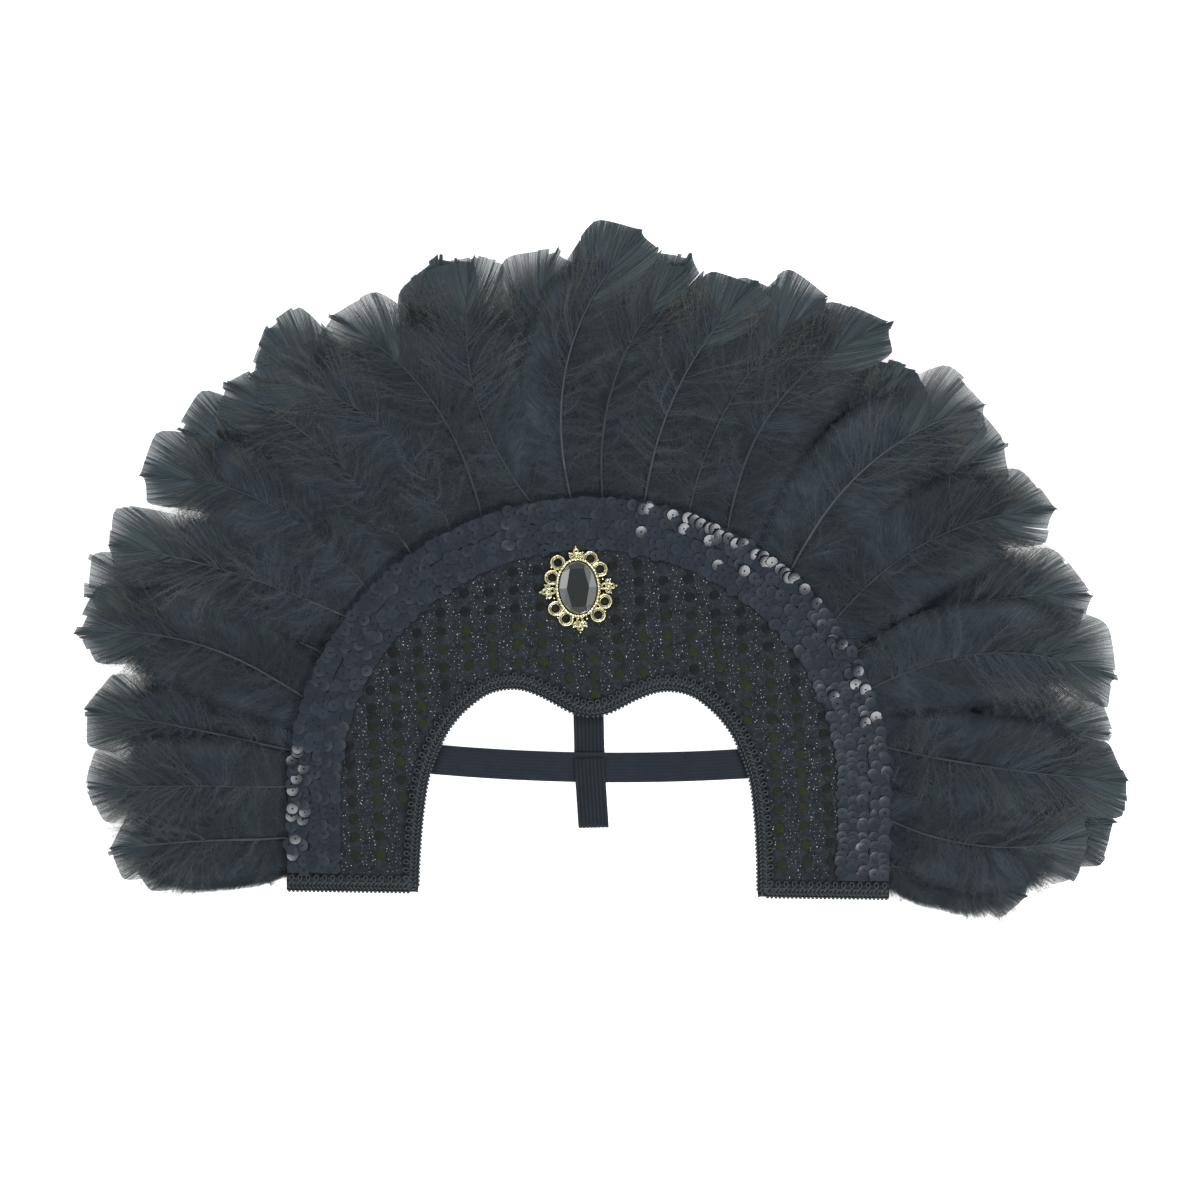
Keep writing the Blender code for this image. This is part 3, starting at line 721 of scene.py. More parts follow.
def fibre_group():
    """Fine fibres and handling marks: stretched noise for the height and broad noise for the shade."""
    if "fibres" in bpy.data.node_groups:
        return bpy.data.node_groups["fibres"]
    group, start, end = new_group(
        "fibres", (("Fineness", 1500.0), ("Blotch", 60.0)),
        (("Height", "NodeSocketFloat"), ("Shade", "NodeSocketFloat")))
    place = group.nodes.new("ShaderNodeTexCoord")
    fine = add_node(group, "ShaderNodeTexNoise", Detail=2.0)
    broad = add_node(group, "ShaderNodeTexNoise", Detail=3.0)
    for noise, key in ((fine, "Fineness"), (broad, "Blotch")):
        group.links.new(place.outputs["Object"], noise.inputs["Vector"])
        group.links.new(start.outputs[key], noise.inputs["Scale"])
    group.links.new(fine.outputs["Fac"], end.inputs["Height"])
    group.links.new(broad.outputs["Fac"], end.inputs["Shade"])
    return group


def use_group(tree, group, **values):
    """A group node in a material, with its own values."""
    node = tree.nodes.new("ShaderNodeGroup")
    node.node_tree = group
    for key, value in values.items():
        node.inputs[key].default_value = value
    return node


def new_material(name, **values):
    """A material with its Principled shader's plain values set. Returns tree and shader too."""
    material = bpy.data.materials.new(name)
    material.use_nodes = True
    tree = material.node_tree
    shader = tree.nodes["Principled BSDF"]
    for key, value in values.items():
        shader.inputs[key.replace("_", " ")].default_value = value
    return material, tree, shader


def bump(tree, shader, height, strength, distance):
    """A bump from a height socket into the shader's normal."""
    node = add_node(tree, "ShaderNodeBump", Strength=strength, Distance=distance)
    tree.links.new(height, node.inputs["Height"])
    tree.links.new(node.outputs[0], shader.inputs["Normal"])


def vary_roughness(tree, shader, value, swing, level):
    """Roughness that follows a value over the surface: level + swing * value."""
    tree.links.new(math_node(tree, "MULTIPLY_ADD", value, swing, level), shader.inputs["Roughness"])


def strand_group():
    """Fine strands side by side: noise that is stretched from the quill outwards.

    The strands run where the mesh's "strand" value stays the same, and "reach" counts along them.
    """
    if "strands" in bpy.data.node_groups:
        return bpy.data.node_groups["strands"]
    group, start, end = new_group(
        "strands", (("Fineness", 1.1), ("Length", 0.16), ("Twist", 1.2)), (("Shade", "NodeSocketFloat"),))
    place = group.nodes.new("ShaderNodeCombineXYZ")
    for socket, name, key in ((0, "strand", "Fineness"), (1, "reach", "Length")):
        scaled = math_node(group, "MULTIPLY", attribute(group, name), start.outputs[key])
        group.links.new(scaled, place.inputs[socket])
    noise = add_node(group, "ShaderNodeTexNoise", Scale=1.0, Detail=4.0)
    group.links.new(place.outputs[0], noise.inputs["Vector"])
    group.links.new(start.outputs["Twist"], noise.inputs["Distortion"])
    group.links.new(noise.outputs["Fac"], end.inputs["Shade"])
    return group


def feather_material(settings):
    """Dyed feather: matt down, sleek blue-green tips, glossy quills, each barb its own shade with painted
    shade on lower locks, and painted light through the thin ends of the upper down.
    """
    if "dyed_feather" in bpy.data.materials:
        return bpy.data.materials["dyed_feather"]
    material, tree, shader = new_material(
        "dyed_feather", Sheen_Weight=0.04, Sheen_Roughness=0.5, Specular_IOR_Level=0.16, Coat_Roughness=0.25)
    fibres = use_group(tree, fibre_group(), Fineness=2600.0, Blotch=38.0)
    tip = attribute(tree, "tip")
    base = mix_colour(tree, tip, colour4(settings.feather_colour), colour4(settings.tip_colour))
    # Painted light: the upper down's thin ends are mixed towards the lighter fringe colour, as if lit
    # through.
    base = mix_colour(tree, attribute(tree, "pale"), base, colour4(settings.backlit_fringe_colour))
    shade = math_node(tree, "MULTIPLY_ADD", attribute(tree, "shade"), 0.8, 0.35)
    blotch = math_node(tree, "ADD", shade, math_node(tree, "MULTIPLY", fibres.outputs["Shade"], 0.5))
    grey = tree.nodes.new("ShaderNodeCombineColor")
    for socket in grey.inputs:
        tree.links.new(blotch, socket)
    toned = mix_colour(tree, 1.0, base, grey.outputs[0], "MULTIPLY")
    quill = mix_colour(tree, attribute(tree, "quill"), toned, colour4(settings.quill_colour))
    tree.links.new(quill, shader.inputs["Base Color"])
    vary_roughness(tree, shader, tip, -0.2, 0.65)
    tree.links.new(math_node(tree, "MULTIPLY", attribute(tree, "quill"), 0.2), shader.inputs["Coat Weight"])
    bump(tree, shader, fibres.outputs["Height"], 0.3, 0.05 * MM)
    return material


def core_material(settings):
    """The matted down in the depth of a feather, in fine strands that thin out to its edge."""
    if "matted_down" in bpy.data.materials:
        return bpy.data.materials["matted_down"]
    material, tree, shader = new_material("matted_down", Roughness=0.9, Specular_IOR_Level=0.08)
    strands = use_group(tree, strand_group(), Fineness=1.1, Length=0.16, Twist=1.2).outputs[0]
    fibres = use_group(tree, fibre_group(), Fineness=900.0, Blotch=40.0)
    mixed = math_node(tree, "MULTIPLY", strands, fibres.outputs["Shade"])
    share = math_node(tree, "MULTIPLY_ADD", mixed, 2.6, -0.12)
    down = settings.feather_colour
    base = mix_colour(tree, share, colour4(down, 0.35), colour4(down, 1.5))
    tree.links.new(base, shader.inputs["Base Color"])
    strand_alpha(tree, shader, strands, 0.75, 3.0)
    bump(tree, shader, strands, 0.8, 1.2 * MM)
    return material


def web_material(settings):
    """The sleek vane: fine parallel barbs, close at the quill and see-through towards their ends."""
    if "vane_web" in bpy.data.materials:
        return bpy.data.materials["vane_web"]
    material, tree, shader = new_material("vane_web", Roughness=0.5, Specular_IOR_Level=0.25)
    strands = use_group(tree, strand_group(), Fineness=1.9, Length=0.035, Twist=0.15).outputs[0]
    vane = settings.tip_colour
    base = mix_colour(tree, strands, colour4(vane, 0.55), colour4(vane, 1.55))
    tree.links.new(base, shader.inputs["Base Color"])
    strand_alpha(tree, shader, strands, 0.42, 1.60)
    bump(tree, shader, strands, 0.5, 0.15 * MM)
    return material


def strand_alpha(tree, shader, strands, cut, steep):
    """See-through where the mesh's cover is low, between the strands first."""
    left = math_node(tree, "SUBTRACT", attribute(tree, "cover"), math_node(tree, "MULTIPLY", strands, cut))
    alpha = math_node(tree, "MULTIPLY", left, steep)
    alpha.node.use_clamp = True
    tree.links.new(alpha, shader.inputs["Alpha"])


def cloth_material(settings):
    """Matt stretch knit with fine threads and a mottled shade."""
    material, tree, shader = new_material("dotted_knit", Sheen_Weight=0.03, Specular_IOR_Level=0.1)
    weave = use_group(tree, weave_group(), Threads=1100.0, Unevenness=0.7)
    fibres = use_group(tree, fibre_group(), Fineness=1400.0, Blotch=420.0)
    mottle = math_node(tree, "MULTIPLY", fibres.outputs["Height"], fibres.outputs["Shade"])
    ground = math_node(tree, "SUBTRACT", weave.outputs["Shade"], 0.45)
    share = math_node(tree, "MULTIPLY_ADD", mottle, 2.4, ground)
    base = mix_colour(tree, share, colour4(settings.cloth_colour, 0.4), colour4(settings.cloth_colour, 2.1))
    tree.links.new(base, shader.inputs["Base Color"])
    vary_roughness(tree, shader, weave.outputs["Shade"], -0.2, 0.9)
    bump(tree, shader, weave.outputs["Height"], 0.6, 0.15 * MM)
    return material


def dot_material():
    """Flat glued spangle, some with an olive sheen painted into its colour."""
    material, tree, shader = new_material("spangle_dot", Specular_IOR_Level=0.15)
    base = mix_colour(tree, attribute(tree, "olive"), (0.002, 0.003, 0.004, 1.0), (0.018, 0.022, 0.004, 1.0))
    fibres = use_group(tree, fibre_group(), Fineness=1500.0, Blotch=500.0)
    share = math_node(tree, "MULTIPLY", fibres.outputs["Height"], fibres.outputs["Shade"])
    worn = mix_colour(tree, share, base, (0.011, 0.014, 0.015, 1.0))
    tree.links.new(worn, shader.inputs["Base Color"])
    vary_roughness(tree, shader, fibres.outputs["Shade"], 0.3, 0.4)
    return material


def glitter_material():
    """Tiny bright flecks that are glued between the dots."""
    material, tree, shader = new_material("glitter", Metallic=0.9)
    base = mix_colour(tree, attribute(tree, "shade"), (0.30, 0.33, 0.37, 1.0), (0.90, 0.93, 0.96, 1.0))
    tree.links.new(base, shader.inputs["Base Color"])
    vary_roughness(tree, shader, attribute(tree, "shade"), 0.2, 0.3)
    return material


def sequin_material(settings):
    """Black film with a soft gloss, a little different on each sequin."""
    material, tree, shader = new_material("sequin_film", Specular_IOR_Level=0.42)
    fibres = use_group(tree, fibre_group(), Fineness=1800.0, Blotch=700.0)
    film = settings.sequin_colour
    base = mix_colour(tree, attribute(tree, "shade"), colour4(film), colour4(film, 1.5))
    tree.links.new(base, shader.inputs["Base Color"])
    vary_roughness(tree, shader, fibres.outputs["Shade"], 0.2, 0.12)
    bump(tree, shader, fibres.outputs["Height"], 0.1, 0.05 * MM)
    return material


def braid_material():
    """Silky gimp: fine ridges wound round the cord, with the ground between the cords darkened nearly to
    black as painted shade.
    """
    material, tree, shader = new_material("gimp_cord", Specular_IOR_Level=0.35)
    fibres = use_group(tree, fibre_group(), Fineness=3200.0, Blotch=500.0)
    cord = mix_colour(tree, fibres.outputs["Shade"], (0.009, 0.014, 0.018, 1.0), (0.048, 0.063, 0.074, 1.0))
    # Painted shade: where rise is 0, on the ground between the cords, the colour goes nearly black. The
    # loops, at 0.75, are a little darker than the grains at 1.
    base = mix_colour(tree, attribute(tree, "rise"), (0.001, 0.001, 0.002, 1.0), cord)
    tree.links.new(base, shader.inputs["Base Color"])
    vary_roughness(tree, shader, fibres.outputs["Shade"], -0.2, 0.55)
    bump(tree, shader, fibres.outputs["Height"], 0.6, 0.12 * MM)
    return material


def elastic_material():
    """Woven elastic: matt, with fine cross threads over the ribs and painted shade, nearly black, in the
    grooves between them.
    """
    material, tree, shader = new_material("ribbed_elastic", Specular_IOR_Level=0.3, Sheen_Weight=0.1)
    weave = use_group(tree, weave_group(), Threads=1500.0, Unevenness=0.5)
    low = mix_colour(tree, weave.outputs["Shade"], (0.005, 0.009, 0.015, 1.0), (0.022, 0.033, 0.050, 1.0))
    # Painted shade: the rib value darkens the grooves between the ribs.
    base = mix_colour(tree, attribute(tree, "rib"), (0.001, 0.002, 0.004, 1.0), low)
    tree.links.new(base, shader.inputs["Base Color"])
    vary_roughness(tree, shader, weave.outputs["Shade"], -0.1, 0.85)
    bump(tree, shader, weave.outputs["Height"], 0.5, 0.1 * MM)
    return material


def gold_material(settings):
    """Bright thin gold plate in uneven tones, darkened to brown and olive as painted shade where the rise
    value is low.
    """
    material, tree, shader = new_material("gold_plate", Metallic=1.0)
    fibres = use_group(tree, fibre_group(), Fineness=1200.0, Blotch=420.0)
    dark = (0.11, 0.09, 0.018, 1.0)
    share = math_node(tree, "MULTIPLY_ADD", fibres.outputs["Shade"], 2.4, -0.40)
    base = mix_colour(tree, share, (0.36, 0.29, 0.07, 1.0), colour4(settings.gold_colour))
    # Painted shade: a low rise darkens the gold towards the dark brown-olive.
    base = mix_colour(tree, attribute(tree, "rise"), dark, base)
    tree.links.new(base, shader.inputs["Base Color"])
    vary_roughness(tree, shader, fibres.outputs["Height"], 0.25, 0.06)
    bump(tree, shader, fibres.outputs["Shade"], 0.9, 0.60 * MM)
    return material


def stone_material():
    """Polished black stone with a little dust on it. The flash on some facets is a painted reflection, grey
    in the colour.
    """
    material, tree, shader = new_material("black_cut_stone", Specular_IOR_Level=0.8)
    fibres = use_group(tree, fibre_group(), Fineness=2400.0, Blotch=500.0)
    # Painted reflection: the flash value lightens a facet from black towards grey.
    base = mix_colour(tree, attribute(tree, "flash"), (0.018, 0.021, 0.021, 1.0), (0.42, 0.44, 0.45, 1.0))
    tree.links.new(base, shader.inputs["Base Color"])
    vary_roughness(tree, shader, fibres.outputs["Height"], 0.06, 0.02)
    return material


# Feathers


def row_bulk(outside):
    """Thickness of a row: thin under the panel, full in the down, thin in the vane."""
    down = ROOT_THICKNESS + (DOWN_THICKNESS - ROOT_THICKNESS) * smooth(DOWN_START, DOWN_FULL, outside)
    return down + (VANE_THICKNESS - DOWN_THICKNESS) * smooth(DOWN_END, VANE_START, outside)


def row_height(front, points, share):
    """Height at a share of a row's thickness over each point, in the rows' curl up to the tips."""
    flat = points.reshape(-1, 2)
    outside = signed_distance(flat, EDGE_COARSE).reshape(points.shape[:-1])
    bulk = row_bulk(outside)
    height = TIP_CURL * np.clip((outside - DOWN_END) / CURL_LENGTH, 0.0, None) ** 2 + share * bulk
    if front:
        puffed = smooth(DOWN_START, DOWN_FULL, outside)
        height = height + np.maximum(bulk + ROW_GAP * puffed, ROW_STEP)
    return height


class Quill:
    """A feather's quill as a quadratic curve from its root at the arch's edge to its tip.

    Its tone makes neighbouring feathers a little lighter or darker.
    """

    def __init__(self, spec, number):
        share, reach, lean, bow, breadth, turn = spec
        self.tone = 0.22 * math.sin(2.4 * number)
        spot, heading = along_run(EDGE, np.array([share * EDGE_RUN[-1]]))
        out = left_of(heading[0])
        self.length = reach * FEATHER_REACH
        self.half = breadth * FEATHER_BREADTH / 2.0
        self.turn = math.radians(turn)
        angle = math.radians(lean)
        self.foot = spot[0]
        self.tip = self.foot + self.length * (math.cos(angle) * out + math.sin(angle) * left_of(out))
        self.bend = (self.foot + self.tip) / 2.0 + 2.0 * bow * left_of(self.tip - self.foot)

    def at(self, t):
        """Places and headings at shares along the quill, straight on before its root."""
        t = np.asarray(t)[..., None]
        held = np.clip(t, 0.0, 1.0)
        point = (1 - held) ** 2 * self.foot + 2 * held * (1 - held) * self.bend + held ** 2 * self.tip
        heading = unit((1 - held) * (self.bend - self.foot) + held * (self.tip - self.bend))
        return point + (t - held) * self.length * heading, heading


def strips(centre, side, width, pile, **values):
    """Flat tapering strips: edge points = centre -+ side * width / 2 at each step along a barb."""
    barbs, steps = centre.shape[:2]
    offset = side * (width / 2.0)[..., None]
    verts = np.stack((centre - offset, centre + offset), axis=2)
    index = np.arange(steps * 2).reshape(steps, 2)
    quads = np.stack((index[:-1, 0], index[:-1, 1], index[1:, 1], index[1:, 0]), axis=-1)
    for key, value in values.items():
        values[key] = np.repeat(np.broadcast_to(value, (barbs, steps)).reshape(-1), 2)
    pile.add(verts, quads=many_quads(quads, barbs, steps * 2), **values)


def clump_noise(rng, count, size):
    """One random value from -1 to 1 for each run of about so many neighbours."""
    group = np.cumsum(rng.random(count) < 1.0 / size)
    return rng.uniform(-1.0, 1.0, group[-1] + 1)[group]


def vane_barbs(quill, t, hand, tuft, end):
    """Roots, directions, angles and lengths of vane barbs, cut by the sides and by the slanted end.

    A barb leaves the quill at 41 degrees low on the vane and 8 at its tip, so the vane is a fan. Its
    length is the shorter of the reach to the side and the reach to the end, softly joined.
    """
    point, slant = end
    angle = np.radians(41.0 - 33.0 * smooth(0.58, 1.0, t) + tuft[0] * smooth(0.5, 0.7, t))
    by_side = quill.half * (0.98 + 0.05 * tuft[1]) / np.sin(angle)
    ahead = np.maximum(quill.length * (0.995 - t + 0.010 * tuft[1]), 1.0 * MM)
    by_end = ahead / (np.cos(angle) + 0.07 + (point + hand * slant) * np.sin(angle))
    length = (by_side ** -16.0 + by_end ** -16.0) ** (-1.0 / 16.0)
    root, heading = quill.at(t)
    return root, heading, angle, length


def vane_points(quill, front, barbs, hand, steps, lift):
    """Points along vane barbs, each bent towards the tip, on a vane that arches and turns a little."""
    root, heading, angle, length = barbs
    across = hand * left_of(heading)
    ahead = length[:, None] * (np.cos(angle)[:, None] * steps + 0.07 * steps ** 2)
    aside = length[:, None] * (np.sin(angle)[:, None] * steps - 0.09 * steps ** 2)
    flat = root[:, None] + ahead[..., None] * heading[:, None] + aside[..., None] * across[:, None]
    place = np.linalg.norm(root - quill.foot, axis=1) / quill.length
    turn = quill.turn * smooth(0.50, 0.95, place)[:, None]
    share = 0.45 + 0.35 * smooth(0.55, 0.85, place)[:, None]
    height = row_height(front, flat, share) - 2.2 * MM * (aside / quill.half) ** 2
    height += np.tan(turn) * hand * aside + lift
    return raised(flat, np.maximum(height, VANE_FLOOR))


def add_vane(web, pile, quill, front, number, spacing, rng):
    """Sleek blunt tip: a thin web of joined barbs in a few tufts, with single barbs lying on it."""
    steps = np.linspace(0.0, 1.0, 9)
    end = (rng.uniform(0.10, 0.50), rng.uniform(-0.28, 0.28))
    density = rng.uniform(0.0, 1.0)
    for hand in (-1.0, 1.0):
        cuts = np.concatenate(([VANE_FROM], np.sort(rng.uniform(0.60, 0.96, rng.integers(2, 5))), [0.995]))
        offsets = rng.uniform(-1.0, 1.0, (len(cuts) - 1, 2)) * (2.0, 1.3)
        for low, high, tuft in zip(cuts[:-1], cuts[1:], offsets):
            t = np.linspace(low, min(high + 0.012, 0.997), max(4, int((high - low) * 55.0)))
            barbs = vane_barbs(quill, t, hand, tuft, end)
            points = vane_points(quill, front, barbs, hand, steps, -0.15 * MM + 0.2 * MM * tuft[1])
            cover = smooth(VANE_FROM - 0.01, VANE_FROM + 0.24, t)[:, None] * (1.0 - 0.24 * steps ** 2)
            cover = cover * (0.82 + 0.28 * density)
            quads = grid_quads(len(t), len(steps))
            web.add(points, quads=quads if hand > 0.0 else quads[:, ::-1], cover=cover.reshape(-1),
                    strand=np.repeat(t * quill.length / MM + 190.0 * number, len(steps)),
                    reach=(barbs[3][:, None] * steps / MM + 70.0 * hand).reshape(-1))
        count = int(quill.length * (1.0 - VANE_FROM) / spacing)
        t = np.sort(rng.uniform(VANE_FROM, 0.99, count))
        tuft = offsets[np.clip(np.searchsorted(cuts, t) - 1, 0, len(offsets) - 1)].T
        stray = rng.standard_normal(count)
        barbs = vane_barbs(quill, t, hand, (tuft[0] + 0.8 * stray, tuft[1] + 0.2 * stray), end)
        centre = vane_points(quill, front, barbs, hand, steps, 0.05 * MM + 0.2 * MM * tuft[1][:, None])
        side = unit(np.cross((0.0, 0.0, 1.0), unit(np.gradient(centre, axis=1))))
        side[..., 2] += (0.3 * stray)[:, None]
        width = VANE_BARB * (0.7 + 0.6 * rng.random(count))[:, None] * (1.05 - 0.6 * steps)
        strips(centre, side, width, pile, tip=smooth(VANE_FROM, 0.80, t)[:, None],
               shade=1.6 * rng.random(count)[:, None] ** 2, quill=0.0, pale=0.0)


def add_down(pile, quill, front, barbs, rng):
    """Fluffy barbs of the down, in soft locks, with barbules on both sides.

    A barb is a wavy path: bearing = angle + drift s + wave sin(8 s + phase). High on the quill the barbs
    are longer, straighter and nearer to its direction, with short barbules.
    """
    steps = np.linspace(0.0, 1.0, 7)
    for hand in (-1.0, 1.0):
        t = DOWN_TO * np.sort(rng.random(barbs)) + 0.005
        high = smooth(0.28, 0.60, t)
        lock, twist, lift = (clump_noise(rng, barbs, 6) for _ in range(3))
        angle = 68.0 - 26.0 * high + (20.0 - 8.0 * high) * lock + 6.0 * rng.standard_normal(barbs)
        drift = (1.15 - 0.70 * high) * twist + 0.2 * rng.standard_normal(barbs) - 0.30 + 0.05 * high
        fluff = 0.66 + 0.45 * rng.random(barbs)
        length = quill.half * (fluff + 0.60 * high - 0.55 * smooth(0.58, DOWN_TO, t))
        root, heading = quill.at(t)
        across = hand * left_of(heading)
        wave = (0.22 - 0.12 * high)[:, None] * np.sin(8.0 * steps + 6.0 * rng.random(barbs)[:, None])
        bearing = np.radians(angle)[:, None] + drift[:, None] * steps + wave
        reach = np.diff(steps, prepend=0.0) * length[:, None]
        ahead = np.cumsum(np.cos(bearing) * reach, axis=1)
        aside = np.cumsum(np.sin(bearing) * reach, axis=1)
        flat = root[:, None] + ahead[..., None] * heading[:, None] + aside[..., None] * across[:, None]
        level = 0.60 + 0.30 * lift + 0.25 * rng.standard_normal(barbs)
        climb = (0.07 * lift + 0.05 * rng.standard_normal(barbs) + 0.02)[:, None] * length[:, None] * steps
        height = row_height(front, flat, level[:, None]) + climb * (1.0 - 0.5 * high)[:, None]
        centre = raised(flat, np.maximum(height, DOWN_FLOOR))
        along = unit(np.gradient(centre, axis=1))
        side = unit(np.cross((0.0, 0.0, 1.0), along))
        # Painted shade: the lift that lays a lock lower also darkens it, and a higher lock is lighter. The
        # tone of each feather and barb differs at random besides.
        shade = 0.44 + quill.tone + 0.38 * lift + 0.18 * rng.standard_normal(barbs)
        shade = np.clip(shade, 0.0, 1.3)[:, None]
        # Painted light through the thin ends: the pale share grows towards the ends of the high barbs.
        pale = high[:, None] * smooth(0.35, 1.0, steps)[None]
        width = 0.24 * MM * (1.12 - steps)[None]
        strips(centre, side, width, pile, tip=0.0, shade=shade, quill=0.0, pale=pale)
        add_barbules(pile, (centre, along, side), high, shade, pale, rng)


def add_barbules(pile, barbs, high, shade, pale, rng, detail=24):
    """Hair-like barbules on both sides of the barbs, each one slim triangle."""
    centre, along, side = barbs
    count = len(centre)
    last = centre.shape[1] - 1
    places = np.linspace(0.04, 0.99, detail)
    lower = np.minimum((places * last).astype(int), last - 1)
    part = (places * last - lower)[None, :, None]
    base = centre[:, lower] * (1.0 - part) + centre[:, lower + 1] * part
    forward = along[:, lower]
    half = forward * (BARBULE_WIDTH / 2.0)
    # The barbules take the painted light of their barb's point.
    stem = (pale[:, lower] + pale[:, lower + 1]) / 2.0
    tint = np.repeat(np.broadcast_to(shade, (count, detail)).reshape(-1), 3)
    tris = np.arange(count * detail * 3).reshape(-1, 3)
    for wing in (-1.0, 1.0):
        spread = (46.0 - 16.0 * high)[:, None] + 15.0 * rng.standard_normal((count, detail))
        spread = np.radians(spread)[..., None]
        way = np.cos(spread) * forward + wing * np.sin(spread) * side[:, lower]
        way[..., 2] += 0.30 * rng.standard_normal((count, detail))
        size = (5.2 - 1.4 * high)[:, None] * MM * (1.15 - 0.6 * places)[None]
        size = size * (0.55 + 0.75 * rng.random((count, detail)))
        tip = base + unit(way) * size[..., None]
        tip[..., 2] = np.maximum(tip[..., 2], BARBULE_FLOOR)
        verts = np.stack((base - half, base + half, tip), axis=2)
        pile.add(verts, tris=tris, tip=0.0, shade=tint, quill=0.0, pale=np.repeat(stem.reshape(-1), 3))


def add_quill(pile, quill, front, rng):
    """The bare quill: a tapering tube that thins to nothing at the tip, more or less sunk in the down."""
    t = np.linspace(-0.06, 0.985, 26)
    flat, _ = quill.at(t)
    shown = rng.uniform(0.35, 1.25)
    height = row_height(front, flat, shown + (1.0 - shown) * smooth(0.45, 0.75, t))
    path = np.concatenate((flat, (height + 0.2 * MM)[:, None]), axis=1)
    radius = (0.68 - 0.56 * np.clip(t, 0.0, 1.0)) * MM
    verts, quads, tris = tube(path, radius, 6)
    bare = 0.10 + 0.80 * rng.random() ** 2.2
    pile.add(verts, quads=quads, tris=tris, tip=0.3, shade=0.5, quill=bare, pale=0.0)


def add_core(pile, quill, front, number):
    """Matted down round the quill, a soft lens: height = low + bulk * (1 - u^2) across its width.

    Each point carries its place along the quill and its reach from it, in millimetres, for the strands,
    and how closely the strands cover it.
    """
    t = np.linspace(-0.05, 0.94, 40)
    u = np.linspace(-1.0, 1.0, 13)
    point, heading = quill.at(t)
    half = quill.half * (0.82 + 0.40 * smooth(-0.05, 0.30, t) - 0.16 * smooth(0.72, 0.94, t))
    flat = point[:, None] + (half[:, None] * u)[..., None] * left_of(heading)[:, None]
    top = row_height(front, flat, 0.10 + 0.45 * (1.0 - u ** 2)[None])
    low = row_height(front, flat, 0.10 - 0.06 * (1.0 - u ** 2)[None])
    aside = np.abs(half[:, None] * u) / MM
    strand = (t * quill.length / MM)[:, None] - 0.75 * aside
    cover = (1.0 - np.abs(u) ** 4)[None] * (1.0 - 0.85 * smooth(0.58, 0.94, t))[:, None]
    quads = grid_quads(len(t), len(u))
    for height, shown, side in ((top, quads[:, ::-1], 0.0), (low, quads, 17.0)):
        pile.add(raised(flat, height), quads=shown, strand=(strand + side).reshape(-1),
                 cover=cover.reshape(-1), reach=(aside + 90.0 * number + side).reshape(-1))


def build_row(node, specs, front, settings, seed):
    """One row of feathers in a few meshes, with their webs, their matted down and their tape."""
    rng = np.random.default_rng(seed)
    names = ("strand", "reach", "cover")
    core, web = Pile(*names), Pile(*names)
    pieces = [Pile("tip", "shade", "quill", "pale")]
    for number, spec in enumerate(specs):
        if pieces[-1].triangles() > PIECE_LIMIT - FEATHER_ALLOWANCE:
            pieces.append(Pile("tip", "shade", "quill", "pale"))
        quill = Quill(spec, number)
        add_quill(pieces[-1], quill, front, rng)
        add_vane(web, pieces[-1], quill, front, number, settings.barb_spacing, rng)
        add_down(pieces[-1], quill, front, settings.down_barbs, rng)
        add_core(core, quill, front, number)
    level = FRONT_TAPE_Z if front else BACK_TAPE_Z
    add_band(core, TAPE_INSETS, TAPE_STOP, (level, level + TAPE_THICKNESS))
    plumes = [(pile, f"plumes_{number + 1}", feather_material) for number, pile in enumerate(pieces)]
    for pile, name, finish in (*plumes, (core, "down_core", core_material), (web, "vane_web", web_material)):
        place_piece(pile, f"{node}_{name}", finish(settings), node)


def add_band(pile, insets, stop, heights):
    """A flat band between two insets of the outer edge, stopped above the feet."""
    near, far = (outer_edge(inset) for inset in insets)
    for edge in (near, far):
        edge[:, 1] = np.maximum(edge[:, 1], FOOT_Y + stop)
    low, high = heights
    ring = [np.column_stack((edge, np.full(len(edge), height)))
            for edge, height in ((near, low), (near, high), (far, high), (far, low))]
    last = 4 * len(near) - 1
    caps = [[0, 1, 2, 3], [last, last - 1, last - 2, last - 3]]
    pile.add(np.stack(ring, axis=1), quads=np.vstack((grid_quads(len(near), 4, wrap=True), caps)), cover=1.0)


# Panel cloth


def build_cloth(settings):
    """The covered panel, with rounded edges and slight puckers, its dots and its glitter.

    The top is a surface over u along the arch and v from the opening's edge to the outer edge.
    """
    share = np.linspace(0.0, 1.0, CLOTH_STEPS)
    inner, _ = along_run(BROW, share * run_lengths(BROW)[-1])
    outer, _ = along_run(EDGE, share * EDGE_RUN[-1])
    v = np.concatenate(([0.0, 0.004, 0.012], np.linspace(0.03, 0.97, 17), [0.988, 0.996, 1.0]))
    flat = inner[:, None] * (1.0 - v)[None, :, None] + outer[:, None] * v[None, :, None]
    side = np.minimum(v, 1.0 - v)[None]
    foot = (np.minimum(share, 1.0 - share) * EDGE_RUN[-1])[:, None]
    away = np.minimum(side * CLOTH_BREADTH, foot)
    rounded = EDGE_ROUNDING * (1.0 - np.sqrt(np.clip(away / ROUNDING_REACH, 0.0, 1.0)))
    x, y = flat[..., 0], flat[..., 1]
    pucker = PUCKER * (np.sin(x * 240.0) * np.sin(y * 200.0 + 1.0) + np.sin(x * 90.0 + y * 130.0))
    top = PANEL_TOP_Z - rounded + pucker * smooth(0.0, 0.08, side) - PUCKER
    low = PANEL_Z + rounded
    pile = Pile()
    pile.add(raised(flat, top), quads=grid_quads(*top.shape)[:, ::-1])
    pile.add(raised(flat, low), quads=grid_quads(*low.shape))
    wall = np.stack([raised(border(flat), border(height)) for height in (low, top)])
    pile.add(wall, quads=grid_quads(2, wall.shape[1], wrap=True)[:, ::-1])
    place_piece(pile, "panel_cloth", cloth_material(settings), "panel")
    build_dots(settings)


